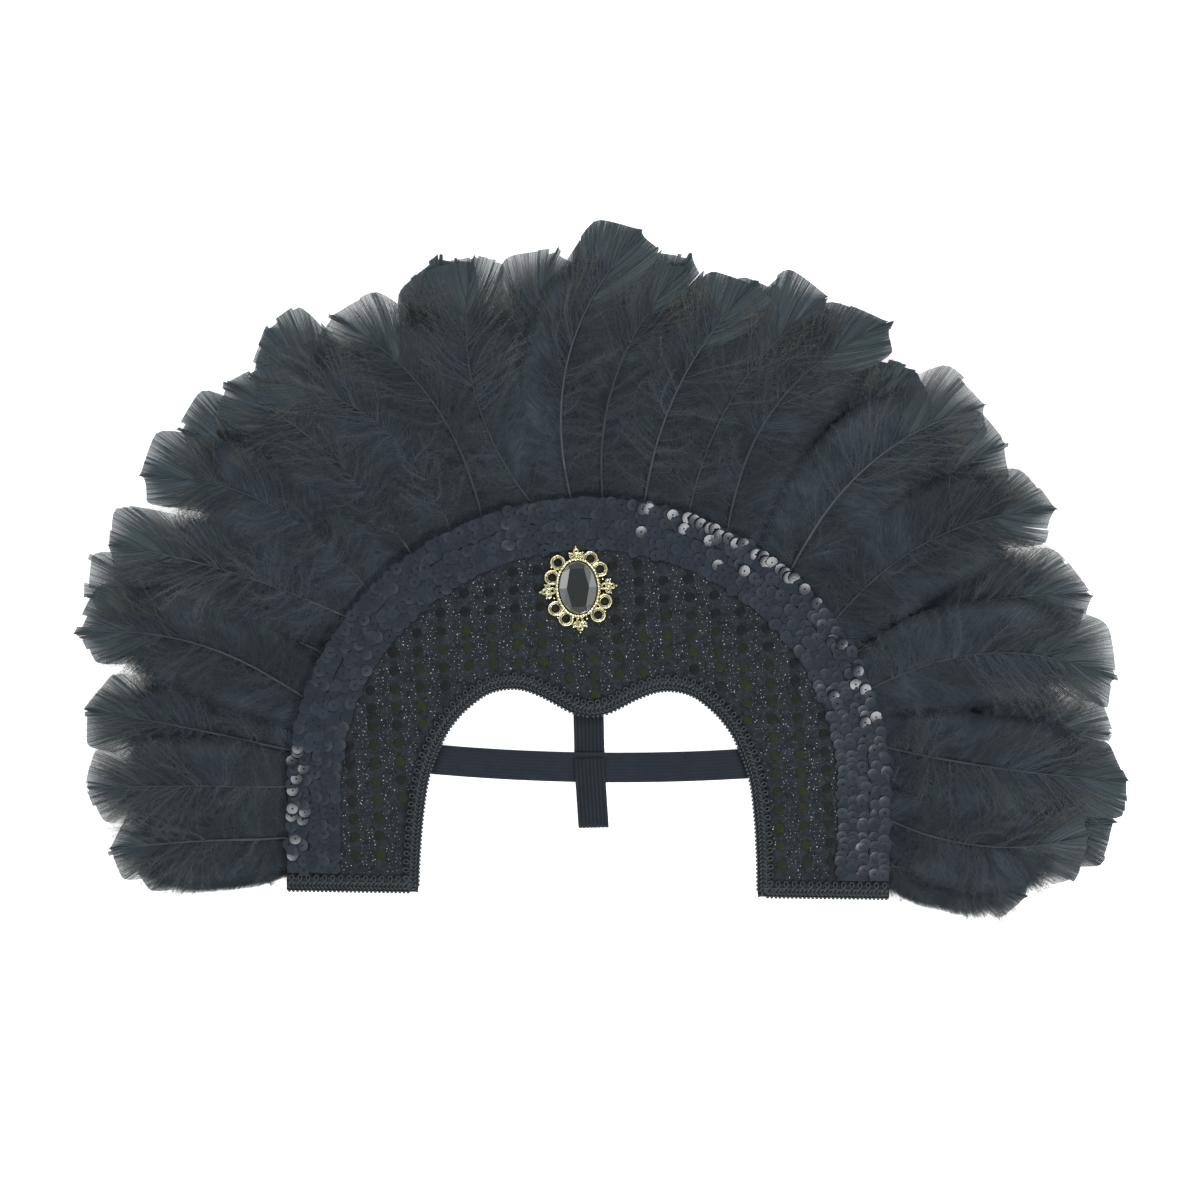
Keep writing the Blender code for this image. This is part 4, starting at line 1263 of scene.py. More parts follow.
def build_dots(settings):
    """Dots in leaning columns, and glitter in wavy strings between them."""
    rng = np.random.default_rng(11)
    columns = np.arange(-20, 21) * DOT_COLUMN
    spots = turned_lattice(columns, np.arange(-30, 31) * DOT_PITCH)
    spots = spots[on_cloth(spots, settings.dot_size * 0.25)]
    add_discs(spots, settings, rng)
    strings = (columns[:, None] + np.array(GLITTER_STRINGS) * DOT_COLUMN).ravel()
    grains = turned_lattice(strings, np.arange(-150, 151) * GLITTER_PITCH)
    grains[:, 0] += 0.55 * MM * np.sin(grains[:, 1] * 2.0 * np.pi / DOT_PITCH + grains[:, 0] * 900.0)
    grains = grains + 0.32 * MM * rng.standard_normal(grains.shape)
    grains = grains[on_cloth(grains, 0.0)]
    away = np.min(np.linalg.norm(grains[:, None] - spots[None], axis=2), axis=1)
    grains = grains[(away > settings.dot_size * 0.52) & (rng.random(len(grains)) < 0.80)]
    add_glitter(grains, rng)


def turned_lattice(columns, rows):
    """Places at every crossing of columns and rows, turned by the slant, that lie on the panel's box."""
    x, y = (axis.ravel() for axis in np.meshgrid(columns, rows, indexing="ij"))
    c, s = math.cos(DOT_SLANT), math.sin(DOT_SLANT)
    points = np.stack((c * x - s * y, s * x + c * y), axis=-1) + DOT_START
    keep = (np.abs(points[:, 0]) < PANEL_HALF_WIDTH) & (points[:, 1] > FOOT_Y) & (points[:, 1] < PANEL_TOP_Y)
    return points[keep]


def off_brooch(points, half_axes):
    """Which points lie outside an oval round the brooch."""
    return np.sum(((points - BROOCH_CENTRE) / half_axes) ** 2, axis=1) > 1.0


def on_cloth(points, margin):
    """Which points lie on the cloth that shows between trims, braid and brooch."""
    edge, brow, foot = (least + margin for least in CLOTH_MARGINS)
    return ((signed_distance(points, EDGE_COARSE) < -edge) & (signed_distance(points, BROW) > brow)
            & off_brooch(points, DOT_CLEARANCE) & (points[:, 1] > FOOT_Y + foot))


def add_discs(spots, settings, rng):
    """Slightly domed discs on the cloth: rings at shares of the radius, each with its own tilt."""
    sides = 14
    rings = ring_stack(sides, ((1.0, 0.01), (0.97, 0.05), (0.55, 0.055)))
    shape = np.vstack((rings, [[0.0, 0.0, 0.05]])) * (settings.dot_size / 2.0)
    quads = grid_quads(3, sides, wrap=True)
    inmost = 2 * sides + np.arange(sides)
    tris = np.stack((inmost, np.roll(inmost, -1), np.full(sides, 3 * sides)), axis=-1)
    count = len(spots)
    tilt = 0.015 * rng.standard_normal((count, 2))
    verts = np.repeat(shape[None], count, axis=0)
    verts[..., 2] += np.einsum("ij,ikj->ik", tilt, verts[..., :2]) + PANEL_TOP_Z
    verts[..., :2] += spots[:, None]
    # Painted sheen: the olive of the spangles is strongest near the opening's edge and fades towards the
    # outer edge.
    green = 1.0 - smooth(22.0 * MM, 46.0 * MM, signed_distance(spots, BROW))
    olive = np.repeat(np.clip(green * rng.normal(0.8, 0.35, count), 0.0, 1.0), len(shape))
    pile = Pile("olive")
    pile.add(verts, quads=many_quads(quads, count, len(shape)), tris=many_quads(tris, count, len(shape)),
             olive=olive)
    place_piece(pile, "spangle_dots", dot_material())


def add_glitter(spots, rng):
    """Tiny pyramids of glitter, each turned its own way."""
    count = len(spots)
    turn = rng.uniform(0.0, 2.0 * np.pi, count)
    size = 0.29 * MM * (0.6 + 0.7 * rng.random(count))
    angle = turn[:, None] + np.arange(4) * np.pi / 2.0
    base = np.stack((np.cos(angle), np.sin(angle)), axis=-1) * size[:, None, None] + spots[:, None]
    verts = np.concatenate((base, np.full((count, 4, 1), PANEL_TOP_Z + 0.02 * MM)), axis=-1)
    peak = np.concatenate((spots, np.full((count, 1), PANEL_TOP_Z + 0.22 * MM)), axis=-1)[:, None]
    verts = np.concatenate((verts, peak), axis=1)
    tris = np.array([(i, (i + 1) % 4, 4) for i in range(4)])
    pile = Pile("shade")
    pile.add(verts, tris=many_quads(tris, count, 5), shade=np.repeat(rng.random(count) ** 1.4, 5))
    place_piece(pile, "glitter_flecks", glitter_material(), smooth=False)


# Sequin trims


def cup_shape(sides=12):
    """A cup sequin of radius one: a holed flat middle and a slightly rising rim."""
    rings = ring_stack(sides, ((0.17, 0.0), (0.60, 0.0), (1.0, 0.035)))
    return rings, grid_quads(3, sides, wrap=True)[:, ::-1]


def sequin_normals(share, ahead, glint, rng):
    """The way each sequin of a row faces: tipped a little along the row, or halfway to a light."""
    count = len(share)
    rough = 1.0 - smooth(0.44, 0.54, share)
    lean = np.radians(4.5 + (1.6 + 0.8 * rough) * rng.standard_normal(count))
    swerve = np.radians(22.0 + 30.0 * rough) * rng.standard_normal(count)
    way = ahead * np.cos(swerve)[:, None] + left_of(ahead) * np.sin(swerve)[:, None]
    normal = raised(way * np.sin(lean)[:, None], np.cos(lean))
    for low, high, light, chance in SEQUIN_GLINTS:
        lit = (share > low) & (share < high) & (rng.random(count) < chance * glint)
        facing = unit(unit(np.array(light)) + (0.0, 0.0, 1.0))
        facing = unit(facing + 0.060 * rng.standard_normal((count, 3)))
        normal = np.where(lit[:, None], facing, normal)
    return normal


def build_sequins(settings):
    """Rows of overlapping cup sequins along the outer edge, lying nearly flat on their backing.

    They are neat on the right and in more disorder on the left. Some of the outer rows face a light.
    """
    rng = np.random.default_rng(23)
    material = sequin_material(settings)
    shape, quads = cup_shape()
    radius = settings.sequin_size / 2.0
    for node, rows in SEQUIN_TRIMS:
        pile = Pile("shade")
        for inset, glint in rows:
            run = outer_edge(inset)
            total = run_lengths(run)[-1]
            places = np.arange(SEQUIN_FOOT, total - SEQUIN_FOOT, SEQUIN_STEP)
            places = places + 0.4 * MM * rng.standard_normal(len(places))
            spot, ahead = along_run(run, places)
            spot = spot + 0.75 * MM * rng.standard_normal(spot.shape)
            clear = off_brooch(spot, SEQUIN_CLEARANCE)
            places, spot, ahead = places[clear], spot[clear], ahead[clear]
            count = len(places)
            normal = sequin_normals(places / total, ahead, glint, rng)
            along = unit(np.cross(raised(left_of(ahead), np.zeros(count)), normal))
            axes = np.stack((along, np.cross(normal, along), normal), axis=1)
            rise = 0.7 * MM + radius * np.sqrt(1.0 - normal[:, 2] ** 2) * 0.75
            centre = raised(spot, TRIM_Z + rise + 0.15 * MM * rng.standard_normal(count))
            verts = centre[:, None] + radius * np.einsum("vk,nkj->nvj", shape, axes)
            verts[..., 2] = np.maximum(verts[..., 2], TRIM_Z + 0.1 * MM)
            shade = np.repeat(rng.random(count) ** 2, len(shape))
            pile.add(verts, quads=many_quads(quads, count, len(shape)), shade=shade)
        place_piece(pile, node + "_cups", material, node)
        backing = Pile("cover")
        add_band(backing, (rows[0][0] - BACKING_MARGIN, rows[-1][0] + BACKING_MARGIN), BACKING_STOP,
                 (TRIM_Z + 0.05 * MM, TRIM_Z + 0.45 * MM))
        place_piece(backing, node + "_backing", core_material(settings), node)


# Gimp braid


def build_braid(settings):
    """Gimp braid along the feet and the opening: loops on the cloth, a herringbone and a beaded edge.

    Loops: across = a - b cos p, along = s + c sin p. Herringbone: two rows of slanted grains.
    """
    corner = np.array((PANEL_HALF_WIDTH, FOOT_Y))
    run = np.vstack((corner * (-1.0, 1.0), BROW, corner))
    middle = run + mitres(run) * BRAID_MIDDLE
    middle[[0, -1], 0] *= (PANEL_HALF_WIDTH - 0.6 * MM) / PANEL_HALF_WIDTH
    total = run_lengths(middle)[-1]
    pitch = settings.braid_pitch
    loops = int(round(total / pitch))
    pile = Pile("rise")
    s = np.linspace(0.0, total, loops * 16 + 1)
    spot, ahead = along_run(middle, s)
    side = left_of(ahead)
    phase = 2.0 * np.pi * loops * s / total
    for across, swing, shift, rise, radius in BRAID_LOOPS:
        out = (across - swing * np.cos(phase)) * MM
        flat = spot + side * out[:, None] + ahead * (shift * MM * np.sin(phase))[:, None]
        height = TRIM_Z + (rise + 0.16 * np.sin(phase)) * MM
        verts, quads, tris = tube(np.column_stack((flat, height)), radius * MM, 5)
        pile.add(verts, quads=quads, tris=tris, rise=0.75)
    for across, slant, long, wide, rise, repeats in BRAID_GRAINS:
        places = (np.arange(loops * repeats) + 0.5) * total / (loops * repeats)
        spot, ahead = along_run(middle, places)
        side = left_of(ahead)
        turn = math.radians(slant)
        way = ahead * math.cos(turn) + side * math.sin(turn)
        centres = np.column_stack((spot + side * across * MM, np.full(len(places), TRIM_Z + rise * MM)))
        add_grains(pile, centres, way, long * MM, wide * MM)
    s = np.linspace(0.0, total, loops * 2 + 1)
    spot, ahead = along_run(middle, s)
    side = left_of(ahead)
    section = np.array(BRAID_GROUND) * MM
    flat = spot[:, None] + side[:, None] * section[None, :, :1]
    verts = raised(flat, np.broadcast_to(TRIM_Z + section[:, 1], flat.shape[:2]))
    # The ground's rise of 0 paints it nearly black, as shade between the cords.
    pile.add(verts, quads=grid_quads(len(s), len(section), wrap=True), rise=0.0)
    place_piece(pile, "gimp_braid", braid_material(), "braid_trim")


def add_grains(pile, centres, way, long, wide, rings=4, sides=6):
    """Slim grains of cord: point = centre + long cos a * way + wide sin a (cos b * side + sin b up)."""
    a = np.linspace(0.0, np.pi, rings + 2)[1:-1]
    b = full_turn(sides)
    side = left_of(way)
    x = np.append(np.repeat(np.cos(a), sides), (1.0, -1.0)) * long / 2.0
    y = np.append(np.outer(np.sin(a), np.cos(b)), (0.0, 0.0)) * wide / 2.0
    z = np.append(np.outer(np.sin(a), np.sin(b)), (0.0, 0.0)) * wide / 2.0
    flat = centres[:, None, :2] + x[:, None] * way[:, None] + y[:, None] * side[:, None]
    verts = raised(flat, centres[:, None, 2] + z)
    quads = grid_quads(rings, sides, wrap=True)[:, ::-1]
    count = len(centres)
    pile.add(verts, quads=many_quads(quads, count, len(x)),
             tris=many_quads(pole_tris(rings, sides), count, len(x)), rise=1.0)


# Elastics


def ribbed_tape(run, side, width, thickness, ribs, pile, depth=1.0):
    """A tape with lengthwise ribs: half thickness = t / 2 (0.55 + 0.45 crown) across its width.

    The crown is |sin| of the place across, taken down to a share of its depth. It also goes out as rib,
    which paints the grooves dark as shade.
    """
    along = unit(np.gradient(run, axis=0))
    face = np.cross(along, side)
    u = np.linspace(-1.0, 1.0, ribs * 6 + 1)
    crown = 1.0 - depth * (1.0 - np.abs(np.sin(np.pi * ribs * (u + 1.0) / 2.0)))
    bulge = thickness / 2.0 * (0.55 + 0.45 * crown)
    bulge[[0, -1]] = thickness * 0.2
    across = np.concatenate((u, u[::-1])) * width / 2.0
    rise = np.concatenate((bulge, -bulge[::-1]))
    rib = np.concatenate((crown, crown[::-1]))
    verts = run[:, None] + across[None, :, None] * side[:, None] + rise[None, :, None] * face[:, None]
    count = len(across)
    quads = grid_quads(len(run), count, wrap=True)
    ends = []
    for start in (0, (len(run) - 1) * count):
        for k in range(len(u) - 1):
            quad = [start + k, start + k + 1, start + count - 2 - k, start + count - 1 - k]
            ends.append(quad if start else quad[::-1])
    pile.add(verts, quads=np.vstack((quads, ends)), rib=np.tile(rib, len(run)))


def head_run():
    """The head elastic's path, a shallow parabola with its ends further up the panel."""
    low, high = (np.array(corner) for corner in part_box("head_elastic"))
    x = np.linspace(low[0], high[0], 60)
    y = (high[1] - HEAD_WIDTH / 2.0) * (x / high[0]) ** 2
    return np.column_stack((x, y, np.full(len(x), (low[2] + high[2]) / 2.0)))


def crown_run():
    """The crown elastic's path: down from behind the peak, round a half-circle fold and up in front."""
    low, high = (np.array(corner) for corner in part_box("crown_elastic"))
    upper = float(high[2]) - CROWN_THICKNESS / 2.0
    radius = (upper - CROWN_LEVEL) / 2.0
    bottom = float(low[1]) + radius + CROWN_THICKNESS / 2.0 + 0.3 * MM
    angle = np.linspace(0.0, math.pi, 14)
    fold = np.column_stack((bottom - radius * np.sin(angle), CROWN_LEVEL + radius * (1.0 - np.cos(angle))))
    path = np.vstack((np.array(CROWN_BACK) * MM, (LOOP_START, CROWN_LEVEL), fold,
                      (LOOP_START, upper), (LOOP_END, upper)))
    lengths = run_lengths(path)
    places = np.linspace(0.0, lengths[-1], 110)
    y, z = (np.interp(places, lengths, path[:, axis]) for axis in range(2))
    x = -y * math.sin(CROWN_TURN) + CROWN_SWAY * np.maximum(-y, 0.0)
    return np.column_stack((x, y * math.cos(CROWN_TURN), z))


def build_elastics():
    """The head elastic behind the legs and the crown elastic folded round it."""
    material = elastic_material()
    run = head_run()
    side = raised(left_of(unit(np.gradient(run, axis=0))), np.zeros(len(run)))
    pile = Pile("rib")
    ribbed_tape(run, side, HEAD_WIDTH, HEAD_THICKNESS, HEAD_RIBS, pile, HEAD_RIB_DEPTH)
    place_piece(pile, "head_elastic_tape", material, "head_elastic")
    run = crown_run()
    side = np.tile((math.cos(CROWN_TURN), math.sin(CROWN_TURN), 0.0), (len(run), 1))
    pile = Pile("rib")
    ribbed_tape(run, side, CROWN_WIDTH, CROWN_THICKNESS, CROWN_RIBS, pile)
    place_piece(pile, "crown_elastic_tape", material, "crown_elastic")


# Brooch


def on_brooch(points):
    """Brooch places turned and moved to where the brooch sits on the panel."""
    points = np.asarray(points, dtype=float)
    c, s = math.cos(BROOCH_TILT), math.sin(BROOCH_TILT)
    flat = points[..., :2] @ np.array(((c, s), (-s, c))) + BROOCH_CENTRE
    return raised(flat, points[..., 2])


def oval(angle, half_width, half_length):
    """Points at some angles of an ellipse."""
    return np.column_stack((half_width * np.cos(angle), half_length * np.sin(angle)))


def oval_wall(width, length, profile, stations):
    """A profile of outward steps and heights carried round an ellipse."""
    angle = full_turn(stations)
    profile = np.asarray(profile)
    out = profile[:, 0]
    x = (width / 2.0 + out)[:, None] * np.cos(angle)
    y = (length / 2.0 + out)[:, None] * np.sin(angle)
    z = np.broadcast_to(profile[:, 1:2], x.shape)
    return np.stack((x, y, z), axis=-1), grid_quads(len(profile), stations, wrap=True)


def ring_shape(centre, radius, wire, rise, around=28, sides=9):
    """A wire ring: point = centre + (R + r cos b) out + r rise sin b up."""
    a = full_turn(around)[:, None]
    b = full_turn(sides)
    out = radius + wire * np.cos(b)[None]
    x = centre[0] + out * np.cos(a)
    y = centre[1] + out * np.sin(a)
    z = np.broadcast_to(centre[2] + wire * rise * np.sin(b), x.shape)
    index = np.arange(around * sides).reshape(around, sides)
    ahead = np.roll(index, -1, axis=0)
    quads = np.stack((index, ahead, np.roll(ahead, -1, axis=1), np.roll(index, -1, axis=1)), axis=-1)
    return np.stack((x, y, z), axis=-1).reshape(-1, 3), quads.reshape(-1, 4)


def bead_shapes(centres, radius, rise, rings=5, sides=8):
    """Round beads: rings of latitude, closed at both poles."""
    centres = np.asarray(centres, dtype=float)
    lat = np.linspace(-np.pi / 2.0, np.pi / 2.0, rings + 2)[1:-1][:, None]
    lon = full_turn(sides)
    x = np.cos(lat) * np.cos(lon)
    y = np.cos(lat) * np.sin(lon)
    z = np.broadcast_to(rise * np.sin(lat), x.shape)
    shape = np.vstack((np.stack((x, y, z), axis=-1).reshape(-1, 3), [[0, 0, -rise], [0, 0, rise]]))
    tris = pole_tris(rings, sides)[:, ::-1]
    quads = grid_quads(rings, sides, wrap=True)
    count = len(centres)
    size = np.broadcast_to(radius, (count,))
    verts = centres[:, None] + shape[None] * size[:, None, None]
    return verts.reshape(-1, 3), many_quads(quads, count, len(shape)), many_quads(tris, count, len(shape))


def add_bezel(pile):
    """The wall round the stone, with its floor, and the ring of milled beads on it."""
    base, top, wall = SETTING_BASE, SETTING_TOP, BEZEL_WALL
    width, length = STONE_WIDTH + BEZEL_PLAY, STONE_LENGTH + BEZEL_PLAY
    profile = [(-BEZEL_FLOOR, base + 1.1 * MM), (0.0, base + 1.2 * MM), (0.0, top - 0.5 * MM),
               (0.25 * wall, top - 0.15 * MM), (0.5 * wall, top), (0.8 * wall, top - 0.35 * MM),
               (wall, top - 1.2 * MM), (1.12 * wall, base + 0.9 * MM), (wall, base), (-BEZEL_FLOOR, base)]
    verts, quads = oval_wall(width, length, profile, BEZEL_SIDES)
    # Painted light and shade on the bezel: the rise grows from 0.5 on the floor inside the wall, over the
    # top, to 1 at its outer foot and underside.
    rise = np.repeat(np.linspace(0.5, 1.0, len(profile)), BEZEL_SIDES)
    pile.add(on_brooch(verts), quads=quads[:, ::-1], rise=rise)
    out = MILL_PLACE * wall
    mill = oval(full_turn(MILL_COUNT), width / 2.0 + out, length / 2.0 + out)
    mill = raised(mill, np.full(MILL_COUNT, top - 0.55 * MM))
    verts, quads, tris = bead_shapes(on_brooch(mill), MILL_RADIUS, 1.0)
    pile.add(verts, quads=quads, tris=tris, rise=1.0)


def add_leaves(pile):
    """Leaves of small rings round the setting. Returns the places and radii of their beads."""
    beads = []
    step = LEAF_RADIUS * LEAF_SPREAD
    for bearing, share in BROOCH_LEAVES:
        a = math.radians(bearing)
        out = np.array((math.cos(a), math.sin(a)))
        side = left_of(out)
        far = share * STONE_LENGTH
        for ahead, aside, wide in LEAF_RINGS:
            spot = out * (far + ahead * step) + side * aside * step
            centre = (*spot, SETTING_BASE + 0.85 * MM)
            verts, quads = ring_shape(centre, LEAF_RADIUS * wide * 0.58, LEAF_RADIUS * 0.36, 0.9, 18, 8)
            # The leaf rings are painted half in shade.
            pile.add(on_brooch(verts), quads=quads, rise=0.55)
        for ahead, aside, radius in LEAF_BEADS:
            spot = out * (far + ahead * step) + side * aside * step
            beads.append((*spot, SETTING_BASE + 1.1 * MM, radius * MM))
    return beads


def build_brooch(settings):
    """The cast setting with its milled bezel, pierced rings and leaves, and the cut stone."""
    pile = Pile("rise")
    add_bezel(pile)
    ring_places = np.array(BROOCH_RINGS) * (STONE_WIDTH, STONE_LENGTH)
    for place in ring_places:
        for radius, wire, squash, lift, shine in RING_BANDS:
            centre = (*place, SETTING_BASE + 0.95 * MM + lift * MM)
            verts, quads = ring_shape(centre, radius * MM, wire * MM, squash)
            # Each band's shine is painted light or shade.
            pile.add(on_brooch(verts), quads=quads, rise=shine)
    beads = add_leaves(pile)
    for index, place in enumerate(ring_places):
        for other in ring_places[index + 1:]:
            if np.linalg.norm(place - other) < RING_NEIGHBOURS:
                middle = (place + other) / 2.0
                beads += [(*(middle * push), SETTING_BASE + 1.2 * MM, 0.62 * MM) for push in (1.0, 1.16)]
    beads = np.array(beads)
    verts, quads, tris = bead_shapes(on_brooch(beads[:, :3]), beads[:, 3], 0.9)
    pile.add(verts, quads=quads, tris=tris, rise=1.0)
    place_piece(pile, "brooch_cast_setting", gold_material(settings), "brooch_setting")
    build_stone()


def build_stone():
    """The cut stone: a six-sided table, crown facets to an oval girdle and a flat back.

    The girdle has twelve corners. Each even one meets one corner of the table and each odd one two, so
    that the facets between them are triangles.
    """
    side = TABLE_HALF_WIDTH * TABLE_NARROWING
    corners = np.array(((TABLE_HALF_WIDTH, 0.0), (side, TABLE_HALF_LENGTH), (-side, TABLE_HALF_LENGTH),
                        (-TABLE_HALF_WIDTH, 0.0), (-side, -TABLE_HALF_LENGTH), (side, -TABLE_HALF_LENGTH)))
    table = raised(corners, np.full(6, STONE_TOP))
    pile = Pile("flash")
    top = np.vstack((table, (0.0, 0.0, STONE_TOP)))
    pile.add(on_brooch(top), tris=[(i, (i + 1) % 6, 6) for i in range(6)], flash=0.0)
    bearings, flashes = zip(*STONE_GIRDLE)
    girdle_z = STONE_BASE + GIRDLE_HEIGHT
    half = (STONE_WIDTH / 2.0, STONE_LENGTH / 2.0)
    girdle = raised(oval(np.radians(bearings), *half), np.full(12, girdle_z))
    for index, flash in enumerate(flashes):
        start = girdle[index]
        peak = table[(index + 1) // 2 % 6]
        facets = [(start, girdle[(index + 1) % 12], peak)]
        if index % 2:
            facets.append((start, peak, table[index // 2]))
        for facet in facets:
            pile.add(on_brooch(facet), tris=[(0, 1, 2)], flash=flash)
    add_rim(pile, girdle, half)
    place_piece(pile, "brooch_cut_stone", stone_material(), "brooch_stone", smooth=False)


def add_rim(pile, girdle, half):
    """The narrow shelf from the girdle's corners to the round rim, the wall under it and the back."""
    count = RIM_SIDES
    girdle_z = girdle[0, 2]
    rim = oval(full_turn(count), *half)
    owner = np.array([np.argmin(np.linalg.norm(girdle[:, :2] - point, axis=1)) for point in rim])
    high = raised(rim, np.full(count, girdle_z - RIM_DROP))
    low = raised(rim, np.full(count, girdle_z - RIM_DEPTH))
    back = raised(rim * BACK_SHARE, np.full(count, STONE_BASE))
    tris = []
    for k in range(count):
        following = (k + 1) % count
        tris.append((12 + k, 12 + following, owner[k]))
        if owner[k] != owner[following]:
            tris.append((12 + following, owner[following], owner[k]))
    # The shelf gets a faint painted reflection.
    pile.add(on_brooch(np.vstack((girdle, high))), tris=tris, flash=0.1)
    wall = np.stack((high, low, back))
    pile.add(on_brooch(wall), quads=grid_quads(3, count, wrap=True)[:, ::-1], flash=0.0)
    disc = np.vstack((back, (0.0, 0.0, STONE_BASE)))
    pile.add(on_brooch(disc), tris=[((k + 1) % count, k, count) for k in range(count)], flash=0.0)


# Stage


def area_light(name, place, power):
    """A square soft light at a place, turned to the headdress."""
    light = bpy.data.lights.new(name, "AREA")
    light.shape = "RECTANGLE"
    light.size = light.size_y = LIGHT_SIZE
    light.energy = power
    item = bpy.data.objects.new(name, light)
    bpy.context.scene.collection.objects.link(item)
    item.location = place
    back = unit(np.array(place) - np.array(LIGHT_AIM))
    right = unit(np.cross((0.0, 1.0, 0.001), back))
    up = np.cross(back, right)
    item.rotation_euler = Matrix(np.column_stack((right, up, back)).tolist()).to_euler()


def build_stage():
    """White floor, soft lights and a camera that looks straight down, as the photo does."""
    scene = bpy.context.scene
    mesh = bpy.data.meshes.new("floor")
    corners = [(x * FLOOR_HALF, y * FLOOR_HALF, 0.0) for x, y in ((-1, -1), (1, -1), (1, 1), (-1, 1))]
    mesh.from_pydata(corners, [], [(0, 1, 2, 3)])
    material, tree, shader = new_material(
        "white_table", Roughness=0.8, Specular_IOR_Level=0.1, Emission_Strength=0.8)
    noise = add_node(tree, "ShaderNodeTexNoise", Scale=6.0)
    base = mix_colour(tree, noise.outputs["Fac"], (0.90, 0.90, 0.90, 1.0), (0.93, 0.93, 0.93, 1.0))
    tree.links.new(base, shader.inputs["Base Color"])
    tree.links.new(base, shader.inputs["Emission Color"])
    mesh.materials.append(material)
    floor = bpy.data.objects.new("floor", mesh)
    floor.location.z = -FLOOR_DROP
    scene.collection.objects.link(floor)

    world = bpy.data.worlds.new("studio")
    world.use_nodes = True
    scene.world = world
    paint_sky(world.node_tree)
    area_light("key", KEY_PLACE, KEY_POWER)
    area_light("top", TOP_PLACE, TOP_POWER)

    camera = bpy.data.cameras.new("camera")
    camera.lens = LENS_MM
    camera.sensor_width = SENSOR_MM
    item = bpy.data.objects.new("camera", camera)
    scene.collection.objects.link(item)
    frame_width = IMAGE_WIDTH * MM_PER_PIXEL * MM
    item.location = (*VIEW_CENTRE, frame_width * LENS_MM / SENSOR_MM + SCALE_LEVEL)
    item.rotation_euler = (0.0, 0.0, CAMERA_ROLL)
    scene.camera = item
    scene.view_settings.view_transform = "Standard"
    scene.view_settings.look = "None"


def paint_sky(tree):
    """A light ceiling over darker walls, dark where the camera hangs, with a white horizon."""
    place = tree.nodes.new("ShaderNodeTexCoord")
    split = tree.nodes.new("ShaderNodeSeparateXYZ")
    tree.links.new(place.outputs["Generated"], split.inputs[0])
    ramp = tree.nodes.new("ShaderNodeValToRGB")
    stops = ramp.color_ramp.elements
    for number, (height, brightness) in enumerate(SKY):
        stop = stops[number] if number < 2 else stops.new(height)
        stop.position = height
        stop.color = (brightness, brightness, brightness, 1.0)
    tree.links.new(split.outputs[2], ramp.inputs[0])
    side = math_node(tree, "MULTIPLY_ADD", split.outputs[0], -0.30, 1.10)
    tree.links.new(ramp.outputs[0], tree.nodes["Background"].inputs["Color"])
    tree.links.new(side, tree.nodes["Background"].inputs["Strength"])


# Operators


class HEADDRESS_OT_stage(bpy.types.Operator):
    """Add the floor, the lights and the camera"""

    bl_idname = "headdress.stage"
    bl_label = "Stage"

    def execute(self, context):
        build_stage()
        return {"FINISHED"}


class HEADDRESS_OT_feathers(bpy.types.Operator):
    """Add both rows of feathers"""

    bl_idname = "headdress.feathers"
    bl_label = "Feathers"

    def execute(self, context):
        settings = context.scene.headdress
        build_row("feather_row_back", BACK_FEATHERS, False, settings, 3)
        build_row("feather_row_front", FRONT_FEATHERS, True, settings, 7)
        return {"FINISHED"}


class HEADDRESS_OT_cloth(bpy.types.Operator):
    """Add the covered panel with its dots and glitter"""

    bl_idname = "headdress.cloth"
    bl_label = "Cloth"

    def execute(self, context):
        build_cloth(context.scene.headdress)
        return {"FINISHED"}


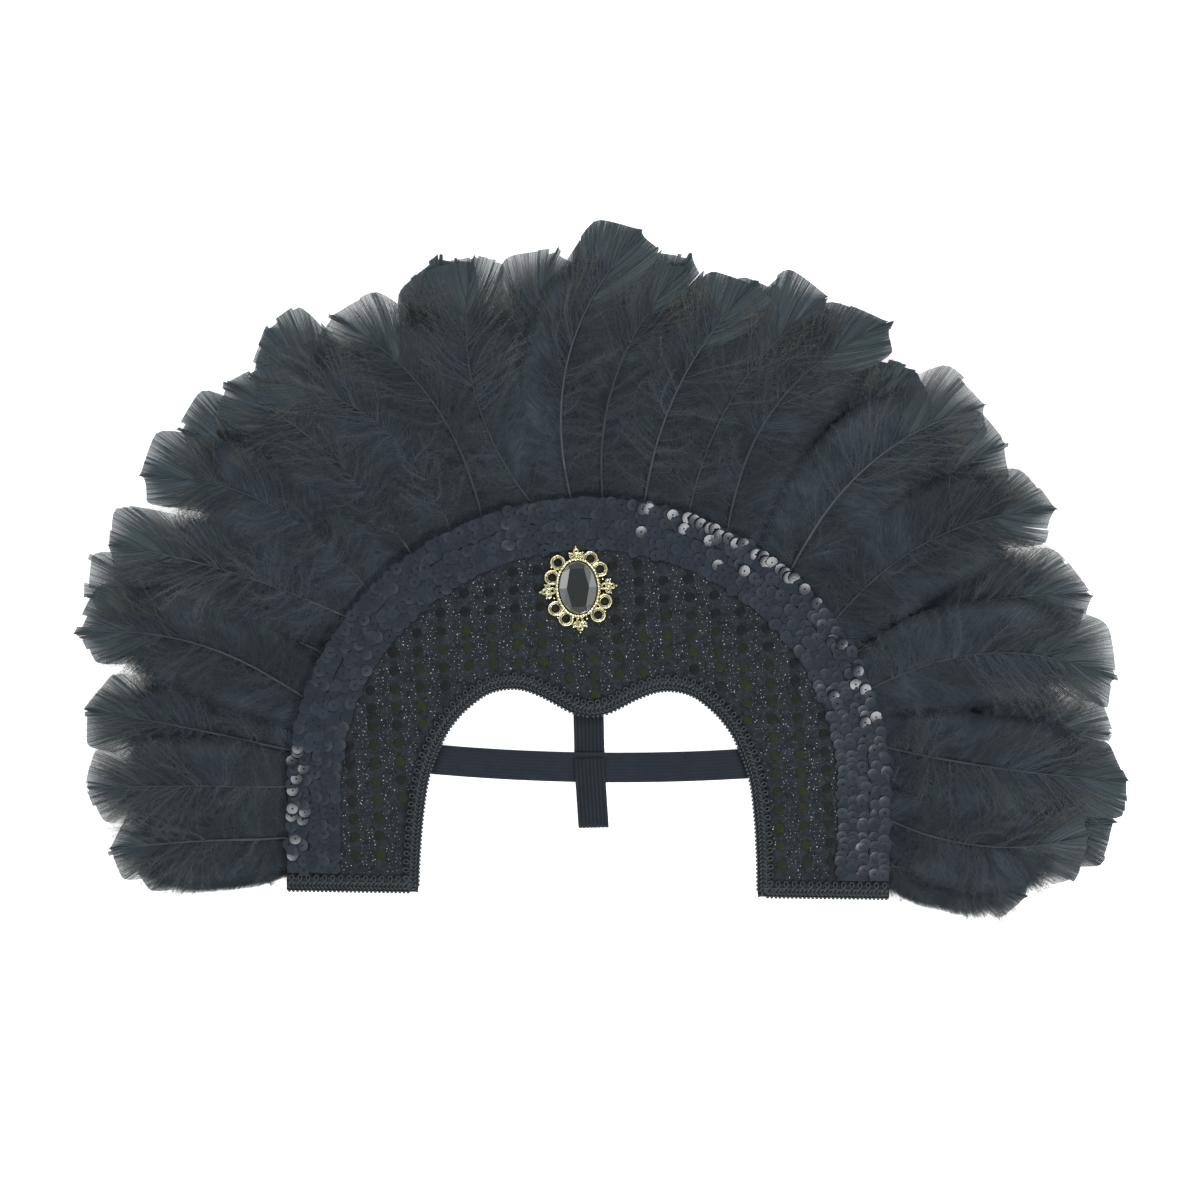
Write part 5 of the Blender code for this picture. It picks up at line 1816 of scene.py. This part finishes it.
class HEADDRESS_OT_sequins(bpy.types.Operator):
    """Add the two sequin trims"""

    bl_idname = "headdress.sequins"
    bl_label = "Sequins"

    def execute(self, context):
        build_sequins(context.scene.headdress)
        return {"FINISHED"}


class HEADDRESS_OT_braid(bpy.types.Operator):
    """Add the gimp braid"""

    bl_idname = "headdress.braid"
    bl_label = "Braid"

    def execute(self, context):
        build_braid(context.scene.headdress)
        return {"FINISHED"}


class HEADDRESS_OT_elastics(bpy.types.Operator):
    """Add the head elastic and the crown elastic"""

    bl_idname = "headdress.elastics"
    bl_label = "Elastics"

    def execute(self, context):
        build_elastics()
        return {"FINISHED"}


class HEADDRESS_OT_brooch(bpy.types.Operator):
    """Add the cast setting and its stone"""

    bl_idname = "headdress.brooch"
    bl_label = "Brooch"

    def execute(self, context):
        build_brooch(context.scene.headdress)
        return {"FINISHED"}


OPERATORS = (
    HEADDRESS_OT_stage,
    HEADDRESS_OT_cloth,
    HEADDRESS_OT_feathers,
    HEADDRESS_OT_sequins,
    HEADDRESS_OT_braid,
    HEADDRESS_OT_elastics,
    HEADDRESS_OT_brooch,
)


class HEADDRESS_PT_panel(bpy.types.Panel):
    """Lists the settings and the operators"""

    bl_idname = "HEADDRESS_PT_panel"
    bl_label = "Headdress"
    bl_space_type = "VIEW_3D"
    bl_region_type = "UI"
    bl_category = "Headdress"

    def draw(self, context):
        settings = context.scene.headdress
        for name in HeaddressSettings.__annotations__:
            self.layout.prop(settings, name)
        for operator in OPERATORS:
            self.layout.operator(operator.bl_idname)


def register():
    """Register the settings, the operators and the panel."""
    bpy.utils.register_class(HeaddressSettings)
    for item in (*OPERATORS, HEADDRESS_PT_panel):
        bpy.utils.register_class(item)
    bpy.types.Scene.headdress = PointerProperty(type=HeaddressSettings)


def unregister():
    """Take back what register added, in reverse order."""
    del bpy.types.Scene.headdress
    for item in reversed((*OPERATORS, HEADDRESS_PT_panel)):
        bpy.utils.unregister_class(item)
    bpy.utils.unregister_class(HeaddressSettings)


def main():
    """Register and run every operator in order."""
    register()
    for operator in OPERATORS:
        group, name = operator.bl_idname.split(".")
        getattr(getattr(bpy.ops, group), name)()


if __name__ == "__main__":
    main()
